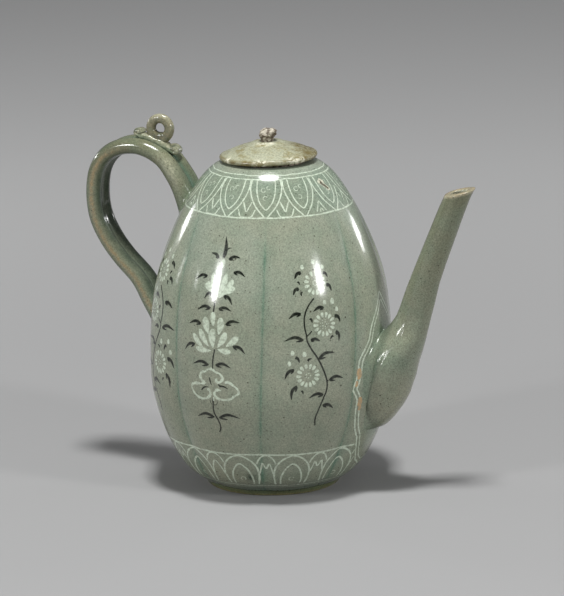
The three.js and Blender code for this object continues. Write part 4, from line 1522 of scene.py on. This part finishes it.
def bracket_line(inset):
    """One side of the bracket from its peak to its foot, drawn that far inside its outer line"""
    outer, drawn = [], []
    for run in BRACKET:
        even = round_to(run, 0.8)
        outer += even
        for i, (s, z) in enumerate(even):
            ahead, behind = even[min(i + 1, len(even) - 1)], even[max(i - 1, 0)]
            heading = Vector((ahead[0] - behind[0], ahead[1] - behind[1])).normalized()
            drawn.append((s - heading.y * inset, z + heading.x * inset))
    if inset:
        drawn = [p for p in drawn if p[0] < 0 and min(math.dist(p, q) for q in outer) > inset * 0.93]
    return drawn


def draw_bracket(width):
    """Double line of the cloud-shaped bracket round the spout"""
    slip = Slip()
    for mirror in (1, -1):
        slip.mirror = mirror
        for inset, share in ((0, 1.15), (2.3, 1)):
            points = [(s, z + 0.3 * noise.noise(Vector((s * 0.3, z * 0.3, inset))))
                      for s, z in bracket_line(inset)]
            slip.line(slip.placed(points), width * share, lift=0.045, waver=0.35, seed=inset)
    return slip


def draw_rust():
    slip = Slip()
    for s, z, size in RUST_SPOTS:
        slip.brushed([(s - 0.4, z - size / 2), (s + 0.3, z), (s, z + size / 2)], size * 0.6, 0.5, 0.09,
                     spacing=0.5, fullness=0.5)
    return slip


def draw_blemish(blobs, outline, lift):
    slip = Slip()
    slip.panel = BLEMISH[0]
    for side, rise, length, width in blobs:
        angle, level = slip.placed([(side, BLEMISH[1] + rise)])[0]
        span = length / 2 / crown_radius(BLEMISH[1])
        slip.stroke([(angle + span * t, level - length * 0.42 * t) for t, _ in outline],
                    [width * share for _, share in outline], lift)
    return slip


class EWER_OT_bracket(bpy.types.Operator):
    """Inlays the scalloped bracket round the spout's root, and adds the bare spots and the kiln blemish"""

    bl_idname = "ewer.bracket"
    bl_label = "Spout bracket"

    def execute(self, context):
        take_sizes(context.scene)
        draw_bracket(context.scene.ewer_inlay.line_width / MM).finish("spout_bracket_white_slip", "white")
        draw_rust().finish("bracket_bare_spots", "rust")
        draw_blemish(*KILN_BLISTER).finish("shoulder_kiln_blister", "blister")
        draw_blemish(*KILN_SCAR).finish("shoulder_kiln_scar", "scar")
        return {"FINISHED"}


def draw_lotus(white, black, sizes):
    """Spray of lotus: flowers one over the other on a stem, between leaves"""
    for root, tip in LOTUS_LEAVES:
        black.leaf(root, tip, sizes.leaf_width / MM)
    black.brushed([(-2.3, 138.6), (-1.6, 143.4), (-2.7, 150.2)], 2.9, 0.3)
    black.brushed([(-1.6, 141.8), (0, 143.9), (2.2, 144.2)], 0.9, 0.4, 0.045)
    for path in LOTUS_STEMS:
        black.brushed(path, sizes.stem_width / MM, 0.5, 0.045, blunt=0.75, fullness=0.5)
    for path in CLOUD_STROKES:
        black.brushed(path, 1.15, 0.4)
    for path in CALYX:
        black.brushed(path, 0.6, 0.5)
    for n, (base, tip, width) in enumerate(LOTUS_PETALS):
        run = Vector(tip) - Vector(base)
        bow = Vector((-run.y, run.x)) * 0.05 * (1 if run.x < 0 else -1)
        white.brushed([base, Vector(base) + run * 0.55 + bow, tip], width * 1.22, 0.62,
                      0.05 + 0.012 * (n % 3), spacing=0.5, fullness=0.6)
    for path in CLOUD_FLOWER:
        white.line(white.placed(round_to(path, 0.7)), 1.6, 0.05, 0.5, path[0][0])
    white.brushed([(-4.6, 60.6), (-4.7, 62.2), (-4.4, 63.8)], 1.3, 0.5)


def draw_head(white, heart, radius, petals, dabs, strokes):
    """Flower head: petals round a heart of dabs, with a ring of small strokes round those of the open one"""

    def out(turn, reach):
        return Vector(heart) + Vector((math.cos(turn), math.sin(turn))) * reach

    for k in range(petals):
        turn = math.tau * (k + 0.5 * noise.noise(Vector((k, radius, 0)))) / petals
        reach = radius * (1 + 0.05 * noise.noise(Vector((k * 3, radius, 1))))
        white.brushed([out(turn, radius * 0.5), out(turn, radius * 0.77), out(turn, reach)], 2.1, 0.62,
                      spacing=0.45, fullness=0.55)
    for k, turn in enumerate(turns(dabs)):
        x, z = out(turn, radius * 0.19)
        white.brushed([(x - 0.55, z), (x, z), (x + 0.55, z + 0.1)], 1, 0.5, 0.05 + 0.004 * (k % 2),
                      spacing=0.4)
    for turn in turns(strokes):
        white.brushed([out(turn, radius * 0.3), out(turn, radius * 0.42)], 0.7, 0.5, 0.045, spacing=0.3)


def draw_chrysanthemum(white, black, sizes):
    """Spray of chrysanthemum: three heads and their buds on one long stem, between leaves"""
    for root, tip in CHRYSANTHEMUM_LEAVES:
        black.leaf(root, tip, 2.3)
    for n, path in enumerate(CHRYSANTHEMUM_STEMS):
        width = sizes.stem_width / MM * (1.1 if n == 0 else 0.8)
        black.brushed(path, width, 0.5, 0.045, blunt=0.8, fullness=0.5)
    for head in HEADS:
        draw_head(white, *head)
    for s, z, size in BUDS:
        white.brushed([(s, z - size / 2), (s + 0.2, z), (s, z + size / 2)], size * 0.82, 0.42, spacing=0.5)


class EWER_OT_sprays(bpy.types.Operator):
    """Inlays the lotus and the chrysanthemum sprays of the six open panels in white and black slip"""

    bl_idname = "ewer.sprays"
    bl_label = "Flower sprays"

    def execute(self, context):
        take_sizes(context.scene)
        for flower, draw, panels in (("lotus", draw_lotus, LOTUS_PANELS),
                                     ("chrysanthemum", draw_chrysanthemum, CHRYSANTHEMUM_PANELS)):
            white, black = Slip(), Slip()
            for n, panel in enumerate(panels):
                for slip in (white, black):
                    slip.panel, slip.mirror = panel, -1 if n % 2 else 1
                draw(white, black, context.scene.ewer_inlay)
            white.finish(f"{flower}_sprays_white_slip", "white")
            black.finish(f"{flower}_sprays_black_slip", "black")
        return {"FINISHED"}


# Stage

# Name, azimuth and elevation in degrees, distance, width and height in metres, strength in watts, and
# whether it lights matt surfaces and shows in glossy ones. The key and its glint are one softbox, hung where
# each part needs it. The cards and the side strip are faint pale surroundings, which show in the gloss alone.
LAMPS = (
    ("front_left_strip", -33, 18.5, 1.5, 0.15, 0.48, 9.1, True, True),
    ("left_card", -112, 10, 1.5, 0.4, 0.4, 0.3, False, True),
    ("right_card", 138, 19, 1.5, 0.5, 0.45, 0.5, False, True),
    ("left_back_strip", -104, 14.5, 1.4, 0.27, 0.1, 2.2, True, True),
    ("left_side_strip", -64, 14, 1.5, 0.04, 0.13, 0.4, False, True),
    ("right_strip", 77, 21, 1.5, 0.16, 0.34, 9, True, True),
    ("right_back_strip", 149, 13, 1.5, 0.25, 0.09, 2, True, True),
    ("overhead_key", 24, 78, 2.75, 0.39, 0.39, 84, True, False),
    ("overhead_glint", 200, 88, 1.3, 0.38, 0.36, 14, False, True),
)
AIM = AXIS + Vector((0, 0, 91.3 * MM))
LENS = 259.5
# Size of a pixel at the pot, the pixel where the aim falls, and the picture's middle
PIXEL = 0.5587 * MM
AIM_PIXEL = (270.8, 320)
MIDDLE_PIXEL = (282, 298)
ROOM_COLOUR = "#c9cacc"
ROOM_STRENGTH = 0.24


def toward(azimuth, elevation):
    """Direction from the pot, by the turn from its front toward the spout and the angle above the table"""
    return Vector((math.sin(azimuth) * math.cos(elevation), -math.cos(azimuth) * math.cos(elevation),
                   math.sin(elevation)))


def lay_paper(studio):
    """Matt grey paper: almost no gloss, and painted a little paler far from the pot, as painted light that
    makes up for the lamps' fall-off
    """
    paper = Finish("matt_grey_paper", studio.floor_colour)
    away = paper.add("VectorMath", "Value", {0: paper.place}, operation="LENGTH")
    paper.lay(studio.far_colour, paper.add("MapRange", 0, {"Value": away, "From Min": 0.2, "From Max": 0.95},
                                           interpolation_type="SMOOTHSTEP"))
    bm = bmesh.new()
    bmesh.ops.create_circle(bm, cap_ends=True, segments=96, radius=9)
    mesh = bpy.data.meshes.new("paper_floor")
    bm.to_mesh(mesh)
    bm.free()
    mesh.materials.append(paper.surface(0.9, {"Specular IOR Level": 0.15}))
    floor = bpy.data.objects.new("paper_floor", mesh)
    bpy.context.scene.collection.objects.link(floor)


def hang_lamps(share):
    for name, azimuth, elevation, distance, width, height, power, lights, shines in LAMPS:
        back = toward(math.radians(azimuth), math.radians(elevation))
        lamp = bpy.data.lights.new(name, "AREA")
        lamp.shape = "ELLIPSE" if name == "overhead_glint" else "RECTANGLE"
        lamp.size, lamp.size_y = width, height
        lamp.energy = power * share
        holder = bpy.data.objects.new(name, lamp)
        holder.visible_diffuse, holder.visible_glossy = lights, shines
        holder.location = AIM + back * distance
        holder.rotation_euler = (-back).to_track_quat("-Z", "Y").to_euler()
        bpy.context.scene.collection.objects.link(holder)


def set_camera(studio):
    """Sets the camera beside its line of sight, so that the pot falls where it does in the picture"""
    back = toward(studio.camera_azimuth, studio.camera_elevation)
    turn = (-back).to_track_quat("-Z", "Y")
    right, up = turn @ Vector((1, 0, 0)), turn @ Vector((0, 1, 0))
    camera = bpy.data.cameras.new("camera")
    camera.lens = LENS
    holder = bpy.data.objects.new("camera", camera)
    holder.location = (AIM + back * studio.camera_distance
                       + right * (MIDDLE_PIXEL[0] - AIM_PIXEL[0]) * PIXEL
                       + up * (AIM_PIXEL[1] - MIDDLE_PIXEL[1]) * PIXEL)
    holder.rotation_mode = "QUATERNION"
    holder.rotation_quaternion = turn @ Matrix.Rotation(-studio.camera_roll, 3, "Z").to_quaternion()
    bpy.context.scene.collection.objects.link(holder)
    bpy.context.scene.camera = holder


class EWER_OT_stage(bpy.types.Operator):
    """Lays the pale grey paper and sets the softboxes and the camera"""

    bl_idname = "ewer.stage"
    bl_label = "Stage"

    def execute(self, context):
        studio = context.scene.ewer_studio
        lay_paper(studio)
        world = bpy.data.worlds.new("studio_room")
        world.use_nodes = True
        background = world.node_tree.nodes["Background"]
        background.inputs["Color"].default_value = linear(ROOM_COLOUR)
        background.inputs["Strength"].default_value = ROOM_STRENGTH
        context.scene.world = world
        hang_lamps(studio.lamp_share)
        set_camera(studio)
        context.scene.view_settings.view_transform = "Standard"
        return {"FINISHED"}


OPERATORS = (EWER_OT_body, EWER_OT_foot, EWER_OT_spout, EWER_OT_handle, EWER_OT_loop, EWER_OT_lid,
             EWER_OT_bands, EWER_OT_bracket, EWER_OT_sprays, EWER_OT_stage)


class EWER_PT_panel(bpy.types.Panel):
    """Lists the ewer's pieces and settings"""

    bl_idname = "EWER_PT_panel"
    bl_label = "Melon shaped ewer"
    bl_space_type = "VIEW_3D"
    bl_region_type = "UI"
    bl_category = "Ewer"

    def draw(self, context):
        for operator in OPERATORS:
            self.layout.operator(operator.bl_idname)
        for group in ("ewer_body", "ewer_inlay", "ewer_lid", "ewer_studio", "ewer_glazes"):
            settings = getattr(context.scene, group)
            box = self.layout.box()
            for name in settings.__annotations__:
                box.prop(settings, name)


GROUPS = {"ewer_body": EwerBodySizes, "ewer_inlay": EwerInlaySizes, "ewer_lid": EwerLidSizes,
          "ewer_glazes": EwerGlazes, "ewer_studio": EwerStudio}
CLASSES = (*GROUPS.values(), *OPERATORS, EWER_PT_panel)


def register():
    for cls in CLASSES:
        bpy.utils.register_class(cls)
    for name, group in GROUPS.items():
        setattr(bpy.types.Scene, name, PointerProperty(type=group))


def unregister():
    for name in GROUPS:
        delattr(bpy.types.Scene, name)
    for cls in reversed(CLASSES):
        bpy.utils.unregister_class(cls)


def main():
    register()
    bpy.ops.ewer.body()
    bpy.ops.ewer.foot()
    bpy.ops.ewer.spout()
    bpy.ops.ewer.handle()
    bpy.ops.ewer.loop()
    bpy.ops.ewer.lid()
    bpy.ops.ewer.bands()
    bpy.ops.ewer.bracket()
    bpy.ops.ewer.sprays()
    bpy.ops.ewer.stage()


if __name__ == "__main__":
    main()
